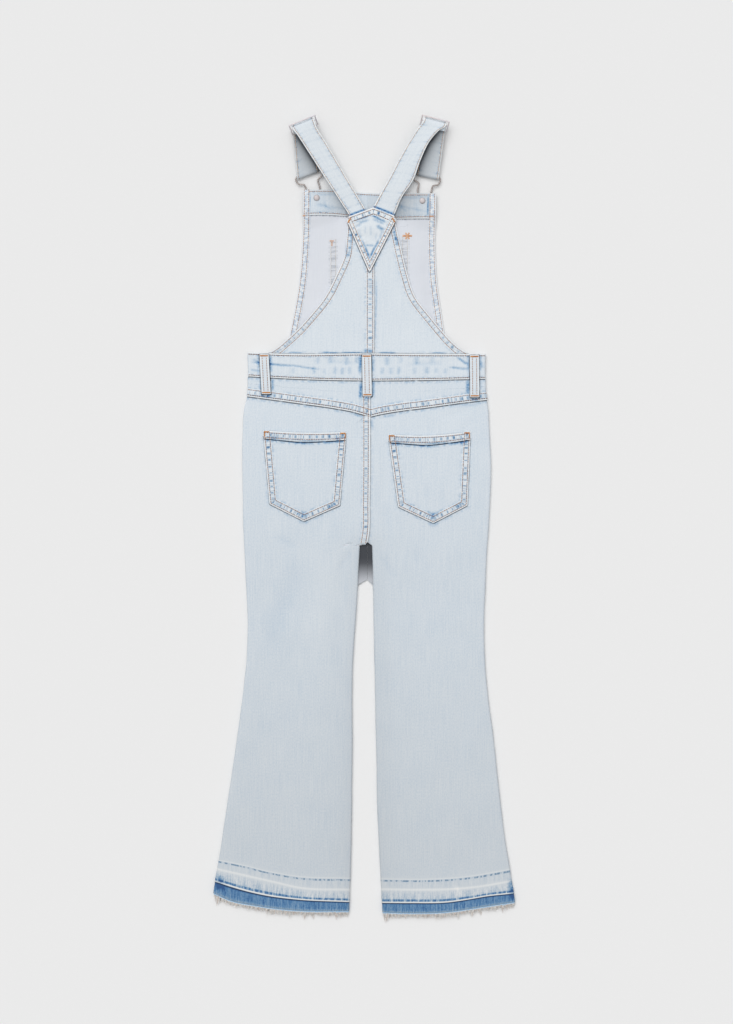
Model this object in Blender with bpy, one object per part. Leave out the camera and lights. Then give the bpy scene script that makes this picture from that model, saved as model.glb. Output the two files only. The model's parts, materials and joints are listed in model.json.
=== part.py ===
"""Kids' dungarees in pale washed denim, laid flat with the back uppermost.

Each cut piece of cloth is a closed wall of its own, SEAM_GAP from the next one. The legs and
the waistband are flat tubes: a front wall on the surface, a back wall over it, and a rolled
fold along each side. The bib lies with its outside down, and the upper back panels, the strap
ends and the patch are stacked on it.

Lengths are in millimetres, and MM turns them into metres where a mesh is made. x runs across
from the centre back line, y from the crotch towards the straps, z up from the surface. "Left"
is the wearer's left, at -x.
"""
import math

import bmesh
import bpy
import numpy as np

MM = 0.001

# ---------------------------------------------------------------- driving dimensions
SEAM_GAP = 0.3
DENIM = 1.4                 # one wall of cloth
BAND = 3.0                  # waistband, two walls and their seam allowances
STRAP = 2.0                 # strap, turned and pressed flat
FOLD_RADIUS = 2.0           # middle of the wall, where a leg's cloth rolls round its side
EDGE_STRIP = 8.0            # flat strip between such a roll and the middle of a panel
BODY_STRIP = DENIM / 2 + FOLD_RADIUS + EDGE_STRIP

STRAP_WIDTH = 32.0
FELL = 0.8                  # extra height of a flat-felled seam
HEM_FOLD = 0.9              # extra height where an edge is turned and stitched

# The body's frame is moved so that its box is centred over the origin.
CENTRE_LINE_X = 3.8
CROTCH_Y = -36.9

# heights of the middle of each wall above the surface
FRONT_Z = DENIM / 2
FOLD_Z = FRONT_Z + FOLD_RADIUS
BACK_Z = FOLD_Z + FOLD_RADIUS
FRONT_BAND_Z = BAND / 2
BACK_BAND_Z = FRONT_BAND_Z + BAND + SEAM_GAP
BAND_FOLD_Z = (FRONT_BAND_Z + BACK_BAND_Z) / 2
ON_DENIM = DENIM + SEAM_GAP     # step from one wall's middle to the next wall's, when they touch
STRAP_ON_BACK_Z = BACK_Z + DENIM / 2 + SEAM_GAP + STRAP / 2

# ---------------------------------------------------------------- outlines
# y, x of the left side, x of the right side
SIDES = (
    (268.0, -167.0, 166.0),
    (232.0, -167.0, 166.0),
    (208.0, -167.5, 167.0),
    (190.0, -171.5, 169.5),
    (157.0, -174.0, 171.5),
    (98.0, -174.0, 173.5),
    (39.0, -173.5, 171.0),
    (-28.0, -170.5, 167.0),
    (-112.0, -167.0, 164.0),
    (-162.0, -168.5, 165.0),
    (-213.0, -174.0, 169.5),
    (-280.0, -183.0, 178.0),
    (-347.0, -193.0, 185.0),
    (-414.0, -203.0, 193.5),
    (-482.0, -214.0, 204.5),
    (-520.0, -219.0, 210.0),
)
# y, inner edge of the left leg, inner edge of the right leg
INSEAMS = (
    (2.0, -9.8, 7.0),
    (-56.0, -12.6, 8.4),
    (-101.0, -15.4, 9.0),
    (-160.0, -19.4, 10.4),
    (-274.0, -20.4, 12.6),
    (-377.0, -21.2, 14.8),
    (-427.0, -22.0, 17.0),
    (-520.0, -25.0, 21.8),
)
# x, y of the raw hem
HEM_LEFT = ((-216.0, -487.0), (-192.0, -497.5), (-153.0, -505.5), (-104.0, -511.5), (-25.0, -513.0))
HEM_RIGHT = ((21.0, -514.5), (55.0, -515.5), (112.0, -514.0), (161.0, -507.0), (208.0, -500.0))
# x, y of the seam where the yoke lies on the legs
YOKE_SEAM = ((-168.0, 206.5), (-87.0, 195.5), (-45.0, 189.5), (-20.6, 185.0), (-4.0, 180.4),
             (3.4, 178.2), (4.6, 177.8), (5.8, 178.1), (16.0, 180.6), (46.0, 185.8), (76.0, 189.5),
             (143.0, 198.5), (168.0, 201.5))
# x, y of the waistband's lower and upper edges
BAND_LOW = ((-168.0, 234.5), (-106.0, 231.0), (-8.0, 228.5), (76.0, 229.0), (168.0, 231.0))
BAND_TOP = ((-168.0, 268.0), (-106.0, 265.5), (-8.0, 266.5), (76.0, 265.5), (168.0, 265.5))
# y, x of the bib's left and right edges
BIB_SIDES = (
    (262.0, -112.5, 114.0),
    (296.0, -107.5, 108.0),
    (323.0, -102.0, 104.0),
    (361.0, -95.5, 98.5),
    (412.0, -91.0, 95.5),
    (458.0, -89.5, 96.0),
    (496.0, -89.5, 96.5),
)
# x, y of the bib's top edge
BIB_TOP = ((-92.0, 495.0), (-50.0, 495.0), (0.0, 491.0), (98.0, 490.0))
# y, x of the upper back's left and right armhole edges
ARMHOLES = (
    (266.0, -140.0, 142.5),
    (270.5, -131.5, 134.0),
    (283.0, -115.5, 118.5),
    (298.0, -99.0, 105.0),
    (321.0, -78.0, 86.0),
    (342.0, -61.0, 69.5),
    (377.0, -42.5, 56.5),
    (403.0, -31.5, 50.0),
    (430.0, -28.5, 44.0),
    (456.0, -26.5, 38.5),
)
UPPER_BACK_TOP = 455.0
BACK_SEAM_X = 10.0          # centre seam of the upper back
# y, x of the seat seam, from the crotch up to the waistband
SEAT_SEAM = ((-30.0, 0.5), (0.0, 0.7), (14.0, 3.0), (60.0, 4.0), (240.0, 4.5))

# soft troughs (-) and ridges (+): start, end, sideways bow, half width, height
FOLDS = (
    # x0,    y0,    x1,    y1,   bow, half, height
    (21.0, 172.0, 24.0, -20.0, 3.0, 7.0, -0.7),
    (24.0, -8.0, 36.0, -300.0, 4.0, 9.0, -0.8),
    (36.0, -250.0, 44.0, -470.0, -3.0, 11.0, -0.5),
    (12.0, -10.0, 19.0, -190.0, 2.0, 6.0, 0.5),
    (-24.0, 60.0, -38.0, -230.0, -6.0, 9.0, -0.6),
    (-44.0, -210.0, -58.0, -440.0, 6.0, 14.0, -0.4),
    (-66.0, -20.0, -98.0, -340.0, 10.0, 24.0, 0.5),
    (96.0, 10.0, 118.0, -360.0, -8.0, 26.0, 0.5),
    (150.0, 192.0, 98.0, 178.0, 4.0, 6.0, -0.5),
    (-156.0, 22.0, -112.0, -14.0, 4.0, 8.0, 0.35),
    (-160.0, -104.0, -104.0, -132.0, -4.0, 9.0, 0.35),
    (154.0, -92.0, 110.0, -118.0, 5.0, 9.0, 0.35),
)
CROWN = 0.9                 # how far a leg's middle stands above its rolled sides
CROWN_REACH = 14.0


# ---------------------------------------------------------------- curves and folds
def curve(rows, column=1):
    """A smooth line through a table's rows, read at any value of its first column."""
    table = np.array(sorted(rows), dtype=float)
    places, values = table[:, 0], table[:, column]
    slopes = np.gradient(values, places)

    def read(place):
        place = np.asarray(place, dtype=float)
        inside = np.clip(place, places[0], places[-1])
        row = np.clip(np.searchsorted(places, inside) - 1, 0, len(places) - 2)
        step = places[row + 1] - places[row]
        t = (inside - places[row]) / step
        smooth = ((2 * t ** 3 - 3 * t ** 2 + 1) * values[row]
                  + (t ** 3 - 2 * t ** 2 + t) * step * slopes[row]
                  + (3 * t ** 2 - 2 * t ** 3) * values[row + 1]
                  + (t ** 3 - t ** 2) * step * slopes[row + 1])
        end_slope = np.where(place < places[0], slopes[0], slopes[-1])
        return smooth + (place - inside) * end_slope

    return read


def shifted(line, offset):
    """The same line, moved along its own axis of values."""
    return lambda place: line(place) + offset


def ease(share):
    """0 to 1 with a level start and end."""
    share = np.clip(share, 0.0, 1.0)
    return share * share * (3.0 - 2.0 * share)


left_side, right_side = curve(SIDES, 1), curve(SIDES, 2)
left_inseam, right_inseam = curve(INSEAMS, 1), curve(INSEAMS, 2)
seat_seam = curve(SEAT_SEAM)
hem_left, hem_right = curve(HEM_LEFT), curve(HEM_RIGHT)
yoke_seam = curve(YOKE_SEAM)
band_low, band_top = curve(BAND_LOW), curve(BAND_TOP)
bib_left, bib_right = curve(BIB_SIDES, 1), curve(BIB_SIDES, 2)
bib_top = curve(BIB_TOP)
armhole_left, armhole_right = curve(ARMHOLES, 1), curve(ARMHOLES, 2)

FRONT_FORK_Y = -50.0        # the seat's fullness lies folded, so the front's fork shows in the gap
FORK_CORNER = 1.6           # height over which a seam turns into an inner leg edge


def fork_edge(inseam, fork_y, gap):
    """Inner edge of a leg piece: its centre seam above the fork, its inseam below."""
    def read(y):
        below = ease((fork_y - y) / FORK_CORNER)
        return (seat_seam(y) + gap) * (1 - below) + inseam(y) * below
    return read


def below_fork(fork_y):
    return lambda y: ease((fork_y - y) / FORK_CORNER)


def fold_height(x, y):
    """Sum of the creases at a point of the back."""
    height = np.zeros_like(x)
    for x0, y0, x1, y1, bow, half, rise in FOLDS:
        length = math.hypot(x1 - x0, y1 - y0)
        along_x, along_y = (x1 - x0) / length, (y1 - y0) / length
        along = (x - x0) * along_x + (y - y0) * along_y
        share = along / length
        middle = bow * np.sin(math.pi * np.clip(share, 0.0, 1.0))
        across = (y - y0) * along_x - (x - x0) * along_y - middle
        fade = ease(share / 0.25) * ease((1.0 - share) / 0.25)
        height = height + rise * fade * np.exp(-(across / half) ** 2)
    return height


def edge_distance(x, y):
    """Distance in from the sides and from the gap between the legs."""
    sides = np.minimum(x - left_side(y), right_side(y) - x)
    gap_y = np.minimum(y, 0.0)
    beside = np.maximum(left_inseam(gap_y) - x, x - right_inseam(gap_y))
    gap = np.where(y > 0, np.hypot(np.maximum(beside, 0.0), y), beside)
    return np.maximum(np.minimum(sides, gap), 0.0)


def back_height(x, y):
    """Middle of the back wall of the legs and yoke."""
    soft = 1.0 - np.exp(-edge_distance(x, y) / CROWN_REACH)
    return BACK_Z + soft * (CROWN + fold_height(x, y))


def front_height(x, y):
    return np.full_like(x, FRONT_Z)


# ---------------------------------------------------------------- panels
ROLL_SHARE, STRIP_SHARE = 0.1, 0.2   # u at the end of a side's roll, and of the strip beside it


def rolled(share, radius, wall):
    """Plan distance and height share while the cloth rolls up from its side's fold.

    share is 0 on the fold and 1 where the roll ends.
    """
    start = math.asin(SEAM_GAP / 2 / radius)
    angle = start + share * (math.pi / 2 - start)
    return wall / 2 + radius * (1 - np.cos(angle)), np.sin(angle)


def edge_profile(u, fold, strip, radius, wall):
    """Distance in from a panel's edge, and height share, for u from 0 to STRIP_SHARE."""
    roll = u / ROLL_SHARE
    in_roll = u < ROLL_SHARE
    plan, height = rolled(np.where(in_roll, roll, 1.0), radius, wall)
    flat_strip = wall / 2 + radius
    after = (u - ROLL_SHARE) / (STRIP_SHARE - ROLL_SHARE) * (strip - flat_strip)
    folded = np.where(in_roll, plan, flat_strip + after)
    cut = u / STRIP_SHARE * strip
    return cut + fold * (folded - cut), 1.0 + fold * (np.where(in_roll, height, 1.0) - 1.0)


def between(share, start, end, first, last):
    """From start to end, with a strip of a set width at each end, 0 to 1 in share."""
    middle = np.clip((share - STRIP_SHARE) / (1 - 2 * STRIP_SHARE), 0.0, 1.0)
    inside = (start + first) * (1 - middle) + (end - last) * middle
    near_start = start + share / STRIP_SHARE * first
    near_end = end - (1 - share) / STRIP_SHARE * last
    return np.where(share < STRIP_SHARE, near_start,
                    np.where(share > 1 - STRIP_SHARE, near_end, inside))


def panel(left, right, low, high, height, folds=(0, 0), strips=(BODY_STRIP, BODY_STRIP),
          borders=(None, None), radius=FOLD_RADIUS, wall=DENIM, fold_z=FOLD_Z):
    """Middle surface of a panel between four edges, as a function of u across and v up.

    left and right give x at a y, low and high give y at an x. folds are 1 where an edge rolls
    round to the other side of the garment, as a number or as a function of y. strips are the
    widths beside the left and right edges that u gives STRIP_SHARE to, and borders the
    heights by the low and high edges that v does.
    """
    def fold_at(fold, y):
        return fold(y) if callable(fold) else fold

    def across(u, y):
        x0, x1 = left(y), right(y)
        narrow = 0.3 * (x1 - x0)
        first, last = np.minimum(strips[0], narrow), np.minimum(strips[1], narrow)
        in_left, in_right = u < STRIP_SHARE, u > 1 - STRIP_SHARE
        from_left, rise_left = edge_profile(np.where(in_left, u, STRIP_SHARE),
                                            fold_at(folds[0], y), first, radius, wall)
        from_right, rise_right = edge_profile(np.where(in_right, 1 - u, STRIP_SHARE),
                                              fold_at(folds[1], y), last, radius, wall)
        x = np.where(in_left, x0 + from_left, x1 - from_right)
        middle = between(u, x0, x1, first, last)
        return np.where(in_left | in_right, x, middle), rise_left * rise_right

    def up(v, x):
        y0, y1 = low(x), high(x)
        first, last = [STRIP_SHARE * (y1 - y0) if border is None else border
                       for border in borders]
        return between(v, y0, y1, first, last)

    def surface(u, v):
        x, _ = across(u, up(v, 0.0 * u))
        for _ in range(4):
            y = up(v, x)
            x, rise = across(u, y)
        z = fold_z + (height(x, y) - fold_z) * rise
        return np.stack([x, y, z], axis=-1)

    return surface


ROLL_COLUMNS = [0.0, ROLL_SHARE / 3, ROLL_SHARE * 2 / 3, ROLL_SHARE]
SHOULDER = STRIP_SHARE * 0.85       # where a raised edge strip starts to fall


def shares(*middle):
    """Shares of the middle of a panel as u or v."""
    return [STRIP_SHARE + (1 - 2 * STRIP_SHARE) * share for share in middle]


def columns(middle, left=ROLL_COLUMNS, right=ROLL_COLUMNS):
    """u of a panel's columns: its edge strips' own, and shares of its middle."""
    inner = shares(0, *middle, 1)
    return np.array(left + inner + [1 - u for u in reversed(right)])


def raised_left(height):
    return lambda u: height * ease((STRIP_SHARE - u) / (STRIP_SHARE - SHOULDER))


def raised_right(height):
    rise = raised_left(height)
    return lambda u: rise(1 - u)


def sample(surface, u, v):
    """Points and unit normals of a surface at arrays of u and v."""
    step = 1e-4
    along_u = surface(u + step, v) - surface(u - step, v)
    along_v = surface(u, v + step) - surface(u, v - step)
    normal = np.cross(along_u, along_v)
    return surface(u, v), normal / np.linalg.norm(normal, axis=-1, keepdims=True)


# ---------------------------------------------------------------- meshes
def material(name, colour, roughness, metallic=0.0):
    made = bpy.data.materials.new(name)
    made.use_nodes = True
    shader = made.node_tree.nodes["Principled BSDF"]
    shader.inputs["Base Color"].default_value = (*colour, 1.0)
    shader.inputs["Roughness"].default_value = roughness
    shader.inputs["Metallic"].default_value = metallic
    return made


# name: linear colour, roughness, metallic
FINISHES = {
    "denim": ((0.62, 0.70, 0.77), 0.9, 0.0),
    "denim_inside": ((0.68, 0.70, 0.73), 0.9, 0.0),
    "raw_hem": ((0.20, 0.33, 0.50), 0.95, 0.0),
    "nickel": ((0.78, 0.76, 0.75), 0.3, 1.0),
}


def build(name, finish, vertices, faces, smooth=True):
    """One closed solid, from points in millimetres."""
    place = np.array([CENTRE_LINE_X, CROTCH_Y, 0.0])
    mesh = bpy.data.meshes.new(name)
    mesh.from_pydata([tuple((point + place) * MM) for point in vertices], [], faces)
    shape = bmesh.new()
    shape.from_mesh(mesh)
    bmesh.ops.recalc_face_normals(shape, faces=shape.faces)
    shape.to_mesh(mesh)
    shape.free()
    if smooth:
        mesh.shade_smooth()
        mesh.set_sharp_from_angle(angle=math.radians(40))
    mesh.materials.append(material(name, *FINISHES[finish]))
    made = bpy.data.objects.new(name, mesh)
    bpy.context.collection.objects.link(made)
    return made


def wall_between(name, finish, outer, inner):
    """A closed wall from two grids of points, rim included."""
    rows, cols = outer.shape[:2]
    size = rows * cols
    faces = []

    def at(side, i, j):
        return side * size + i * cols + j

    for i in range(rows - 1):
        for j in range(cols - 1):
            faces.append([at(0, i, j), at(0, i + 1, j), at(0, i + 1, j + 1), at(0, i, j + 1)])
            faces.append([at(1, i, j), at(1, i, j + 1), at(1, i + 1, j + 1), at(1, i + 1, j)])
    rim = ([(i, 0) for i in range(rows - 1)] + [(rows - 1, j) for j in range(cols - 1)]
           + [(i, cols - 1) for i in range(rows - 1, 0, -1)] + [(0, j) for j in range(cols - 1, 0, -1)])
    for here, there in zip(rim, rim[1:] + rim[:1]):
        faces.append([at(0, *here), at(0, *there), at(1, *there), at(1, *here)])
    vertices = np.concatenate([outer.reshape(-1, 3), inner.reshape(-1, 3)])
    return build(name, finish, vertices, faces)


def cloth(name, surface, us, vs, wall=DENIM, relief=None, face=1, lift=0.0, finish="denim"):
    """A cloth wall on a middle surface, moved out by lift. relief raises the outer side."""
    u, v = np.meshgrid(us, vs, indexing="ij")
    points, normal = sample(surface, u, v)
    normal *= face * np.sign(np.mean(normal[..., 2]))
    points = points + normal * lift
    raised = np.zeros_like(u) if relief is None else relief(u, v, points)
    outer = points + normal * (wall / 2 + raised)[..., None]
    inner = points - normal * (wall / 2)
    return wall_between(name, finish, outer, inner)


def rows_through(stations, low, high, border=None):
    """v of a leg's rows, from their y on its inner edge."""
    first = STRIP_SHARE * (high - low) if border is None else border
    last = STRIP_SHARE * (high - low)
    knots = [low, low + first, high - last, high]
    return np.interp(stations, knots, [0.0, STRIP_SHARE, 1 - STRIP_SHARE, 1.0])


# ---------------------------------------------------------------- legs and yokes
LET_DOWN = 47.0             # raw hem up to the unpicked hem's stitch line
OLD_FOLD = 14.0             # raw hem up to the old fold, where the cloth is rubbed to a ridge
SECOND_FOLD = 33.0
OLD_FOLD_RIDGE = 0.5
FELL_BAND = 13.0            # width of the yoke's stitched lower edge

HEM_ROWS = [at / LET_DOWN * STRIP_SHARE for at in (0.0, OLD_FOLD - 1, OLD_FOLD, SECOND_FOLD)]
BACK_ROWS_Y = (-440, -400, -360, -320, -280, -240, -200, -160, -120, -80, -48, -22, -8,
               -FORK_CORNER, 0, 12, 36, 64, 94, 124, 152)
FRONT_ROWS_Y = (-420, -350, -280, -210, -140, -90, FRONT_FORK_Y - 8,
                FRONT_FORK_Y - FORK_CORNER, FRONT_FORK_Y, -25, 0, 50, 110, 170)


def hem_relief(low):
    """The ridge at the old fold, falling away up to the second fold."""
    def relief(points):
        above = points[..., 1] - low(points[..., 0])
        return OLD_FOLD_RIDGE * ease(above - OLD_FOLD + 1) * ease(
            (SECOND_FOLD - above) / (SECOND_FOLD - OLD_FOLD))
    return relief


# shares of a back leg's and a yoke's middle that columns stand at, closer by the seat seam
LEFT_STEPS = (0.2, 0.4, 0.6, 0.78, 0.88, 0.95)
RIGHT_STEPS = (0.05, 0.12, 0.22, 0.4, 0.6, 0.8)


def back_legs():
    top = shifted(yoke_seam, -SEAM_GAP / 2)
    folded = below_fork(0.0)
    inner_end = -25.0
    for name, low, sides, folds, steps in (
            ("back_leg_left", hem_left,
             (left_side, fork_edge(left_inseam, 0.0, -SEAM_GAP / 2)), (1, folded), LEFT_STEPS),
            ("back_leg_right", hem_right,
             (fork_edge(right_inseam, 0.0, SEAM_GAP / 2), right_side), (folded, 1), RIGHT_STEPS)):
        surface = panel(*sides, low, top, back_height, folds, borders=(LET_DOWN, None))
        hem = hem_relief(low)
        fell = raised_right(FELL)

        def relief(u, v, points, hem=hem, fell=fell, left=name.endswith("left")):
            seat = fell(u) * ease(points[..., 1] / 12.0) if left else 0.0
            return hem(points) + seat

        inner = [*ROLL_COLUMNS, SHOULDER]
        us = columns(steps, ROLL_COLUMNS if folds[0] == 1 else inner,
                     ROLL_COLUMNS if folds[1] == 1 else inner)
        rows = rows_through(BACK_ROWS_Y, float(low(inner_end)), float(top(0.0)), LET_DOWN)
        vs = np.concatenate([HEM_ROWS, [STRIP_SHARE], rows, [1.0]])
        cloth(name, surface, us, vs, relief=relief)


def front_legs():
    top = shifted(band_low, -SEAM_GAP / 2)
    folded = below_fork(FRONT_FORK_Y)
    for name, low, sides, folds in (
            ("front_leg_left", hem_left,
             (left_side, fork_edge(left_inseam, FRONT_FORK_Y, -SEAM_GAP / 2)), (1, folded)),
            ("front_leg_right", hem_right,
             (fork_edge(right_inseam, FRONT_FORK_Y, SEAM_GAP / 2), right_side), (folded, 1))):
        surface = panel(*sides, low, top, front_height, folds, borders=(LET_DOWN, None))
        rows = rows_through(FRONT_ROWS_Y, float(low(-25.0)), float(top(0.0)), LET_DOWN)
        vs = np.concatenate([[0.0, STRIP_SHARE], rows, [1.0]])
        cloth(name, surface, columns((0.33, 0.67)), vs, face=-1)


def back_yokes():
    low, high = shifted(yoke_seam, SEAM_GAP / 2), shifted(band_low, -SEAM_GAP / 2)
    for name, sides, folds, us in (
            ("back_yoke_left", (left_side, shifted(seat_seam, -SEAM_GAP / 2)), (1, 0),
             columns(LEFT_STEPS, right=[0.0, SHOULDER])),
            ("back_yoke_right", (shifted(seat_seam, SEAM_GAP / 2), right_side), (0, 1),
             columns(RIGHT_STEPS, left=[0.0, SHOULDER]))):
        surface = panel(*sides, low, high, back_height, folds, borders=(FELL_BAND, None))
        fell = raised_right(FELL)

        def relief(u, v, points, fell=fell, left=name.endswith("left")):
            seat = fell(u) if left else 0.0
            return np.maximum(raised_left(FELL)(v), seat)

        cloth(name, surface, us, [0.0, SHOULDER, STRIP_SHARE, 0.6, 1.0], relief=relief)


# ---------------------------------------------------------------- waistbands
BAND_STRIP = BAND / 2 + (BACK_BAND_Z - FRONT_BAND_Z) / 2 + EDGE_STRIP


def band_height(x, y):
    soft = 1.0 - np.exp(-np.minimum(x - left_side(y), right_side(y) - x) / CROWN_REACH)
    return BACK_BAND_Z + CROWN * soft


def waistbands():
    radius = (BACK_BAND_Z - FRONT_BAND_Z) / 2
    us = columns((0.12, 0.25, 0.38, 0.5, 0.62, 0.75, 0.88))
    for name, height, face in (("back_waistband", band_height, 1),
                               ("front_waistband", lambda x, y: 0 * x + FRONT_BAND_Z, -1)):
        surface = panel(left_side, right_side, shifted(band_low, SEAM_GAP / 2), band_top, height,
                        (1, 1), (BAND_STRIP, BAND_STRIP), radius=radius, wall=BAND,
                        fold_z=BAND_FOLD_Z)
        cloth(name, surface, us, [0.0, 0.5, 1.0], wall=BAND, face=face)


# ---------------------------------------------------------------- bib
BIB_HEM = 9.0               # turned side hems of the bib
FACING_DEPTH = 35.0
# x, y of the pocket on the bib's outside
BIB_POCKET = {"left": -52.0, "right": 58.0, "low": 322.0, "high": 427.0}
POCKET_CLEAR = 13.0
POCKET_FALL = 22.0

BUTTON_HEAD = 2.2
BUTTON_RADIUS = 8.5
NECK_RADIUS = 2.6
WIRE_RADIUS = 1.1
BUTTON_LIFT = BUTTON_HEAD + 2 * WIRE_RADIUS + 2 * SEAM_GAP
BUTTON_CLEAR = 21.0         # radius of cloth that a buttoned clasp holds up
BUTTON_FALL = 34.0
CLASP_REACH = 5.0
# name: x, y of the button
BUTTONS = {"left": (-70.4, 483.6), "right": (77.4, 479.6)}


def bib_height(x, y):
    """Middle of the bib's wall, lifted over its pocket and over the buttoned clasps."""
    pocket = BIB_POCKET
    beside = np.maximum(np.maximum(pocket["left"] - x, x - pocket["right"]), 0.0)
    beyond = np.maximum(np.maximum(pocket["low"] - y, y - pocket["high"]), 0.0)
    away = np.hypot(beside, beyond)
    lift = ON_DENIM * (1 - ease((away - POCKET_CLEAR) / POCKET_FALL))
    for button_x, button_y in BUTTONS.values():
        away = np.hypot(x - button_x, y - button_y - CLASP_REACH)
        lift = np.hypot(lift, BUTTON_LIFT * (1 - ease((away - BUTTON_CLEAR) / BUTTON_FALL)))
    return FRONT_Z + lift


BIB_COLUMNS = columns((0.08, 0.16, 0.25, 0.34, 0.45, 0.56, 0.66, 0.75, 0.84, 0.92),
                      [0.0, SHOULDER], [0.0, SHOULDER])
FACING_ROWS = [1 - STRIP_SHARE, 0.86, 0.93, 1.0]


def bib():
    surface = panel(bib_left, bib_right, shifted(band_top, SEAM_GAP), bib_top, bib_height,
                    strips=(BIB_HEM, BIB_HEM), borders=(None, FACING_DEPTH))
    hem_left_side, hem_right_side = raised_left(HEM_FOLD), raised_right(HEM_FOLD)
    low = [0.0] + shares(-0.15, 0.05, 0.25, 0.45, 0.6, 0.72, 0.84, 0.93)
    cloth("bib", surface, BIB_COLUMNS, low + FACING_ROWS, finish="denim_inside",
          relief=lambda u, v, points: hem_left_side(u) + hem_right_side(u))
    cloth("bib_facing", surface, BIB_COLUMNS[2:-2], FACING_ROWS, lift=ON_DENIM)


def bib_pocket():
    pocket = BIB_POCKET
    low = curve(((pocket["left"], pocket["low"] + 16), (3.0, pocket["low"]),
                 (pocket["right"], pocket["low"] + 16)))
    surface = panel(lambda y: 0 * y + pocket["left"], lambda y: 0 * y + pocket["right"],
                    low, lambda x: 0 * x + pocket["high"], front_height)
    cloth("bib_pocket", surface, np.linspace(0, 1, 7), [0.0, 0.5, 1.0], face=-1)


# ---------------------------------------------------------------- upper back and patch
ARMHOLE_HEM = 8.0
UNDER_PATCH_Y = 438.0
BAND_STEP_FADE = 20.0


def upper_height(x, y):
    step = BACK_BAND_Z + CROWN - BACK_Z
    return BACK_Z + step * np.exp(-(y - band_top(x)) / BAND_STEP_FADE)


def upper_backs():
    low, high = shifted(band_top, SEAM_GAP), lambda x: 0 * x + UPPER_BACK_TOP
    seam = BACK_SEAM_X
    fell_strip = 10.0
    for name, sides, strips, steps in (
            ("upper_back_left", (armhole_left, lambda y: 0 * y + seam - SEAM_GAP / 2),
             (ARMHOLE_HEM, fell_strip), (0.3, 0.65)),
            ("upper_back_right", (lambda y: 0 * y + seam + SEAM_GAP / 2, armhole_right),
             (EDGE_STRIP, ARMHOLE_HEM), (0.35, 0.7))):
        surface = panel(*sides, low, high, upper_height, strips=strips)
        left_panel = name.endswith("left")

        def relief(u, v, points, left_panel=left_panel):
            hem = raised_left(HEM_FOLD)(u) if left_panel else raised_right(HEM_FOLD)(u)
            fell = raised_right(FELL)(u) if left_panel else 0.0
            return (hem + fell) * ease((UNDER_PATCH_Y - points[..., 1]) / 6.0)

        left = [0.0, SHOULDER] if left_panel else [0.0]
        us = columns(steps, left, [0.0, SHOULDER])
        rows = (0.0, 0.025, 0.06, 0.11, 0.17, 0.24, 0.32, 0.42, 0.52, 0.64, 0.76, 0.88, 0.93, 1.0)
        cloth(name, surface, us, rows, relief=relief)


# y, x of the patch's left and right edges
PATCH_SIDES = (
    (381.5, 2.4, 4.6),
    (417.0, -12.8, 22.5),
    (452.5, -28.2, 40.4),
    (458.0, -25.0, 38.0),
    (470.0, -19.0, 32.0),
)
PATCH_TOP = ((-28.0, 456.5), (-9.0, 463.5), (8.7, 470.0), (23.0, 465.0), (40.0, 457.5))
STRAP_END_Y = 448.0
PATCH_EDGE = 5.0


def patch_height(x, y):
    """On the upper back below the straps' ends, and on the straps above them."""
    on_back = BACK_Z + ON_DENIM + FELL
    on_straps = STRAP_ON_BACK_Z + STRAP / 2 + SEAM_GAP + DENIM / 2
    return on_back + (on_straps - on_back) * ease((y - STRAP_END_Y + 22.0) / 16.0)


def strap_patch():
    def edge(column):
        table = np.array(PATCH_SIDES)
        return lambda y: np.interp(y, table[:, 0], table[:, column])

    top = np.array(PATCH_TOP)
    surface = panel(edge(1), edge(2), lambda x: 0 * x + PATCH_SIDES[0][0],
                    lambda x: np.interp(x, top[:, 0], top[:, 1]), patch_height,
                    strips=(PATCH_EDGE, PATCH_EDGE))
    us = np.array([0.0, SHOULDER, STRIP_SHARE, 0.36, 0.5, 0.64, 1 - STRIP_SHARE, 1 - SHOULDER, 1.0])
    rise_left, rise_right = raised_left(FELL), raised_right(FELL)
    cloth("strap_patch", surface, us, [0.0, 0.2, 0.4, 0.55, 0.7, 0.8, 0.9, 1.0],
          relief=lambda u, v, points: np.maximum(rise_left(u), rise_right(u)) * ease(v / 0.2))


# ---------------------------------------------------------------- back pockets and loops
POCKET_WALL = 1.2
POCKET_HEM = 10.0
POCKET_FOLD = 0.5
# corner: x, y
POCKETS = {
    "left": {"top_left": (-144.8, 158.5), "top_middle": (-88.0, 155.5), "top_right": (-28.8, 156.5),
             "low_left": (-135.8, 56.0), "low_right": (-38.0, 54.0), "point": (-88.2, 32.0)},
    "right": {"top_left": (29.8, 153.0), "top_middle": (86.5, 151.5), "top_right": (144.5, 157.0),
              "low_left": (44.0, 52.0), "low_right": (140.2, 54.0), "point": (92.8, 29.4)},
}


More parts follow.
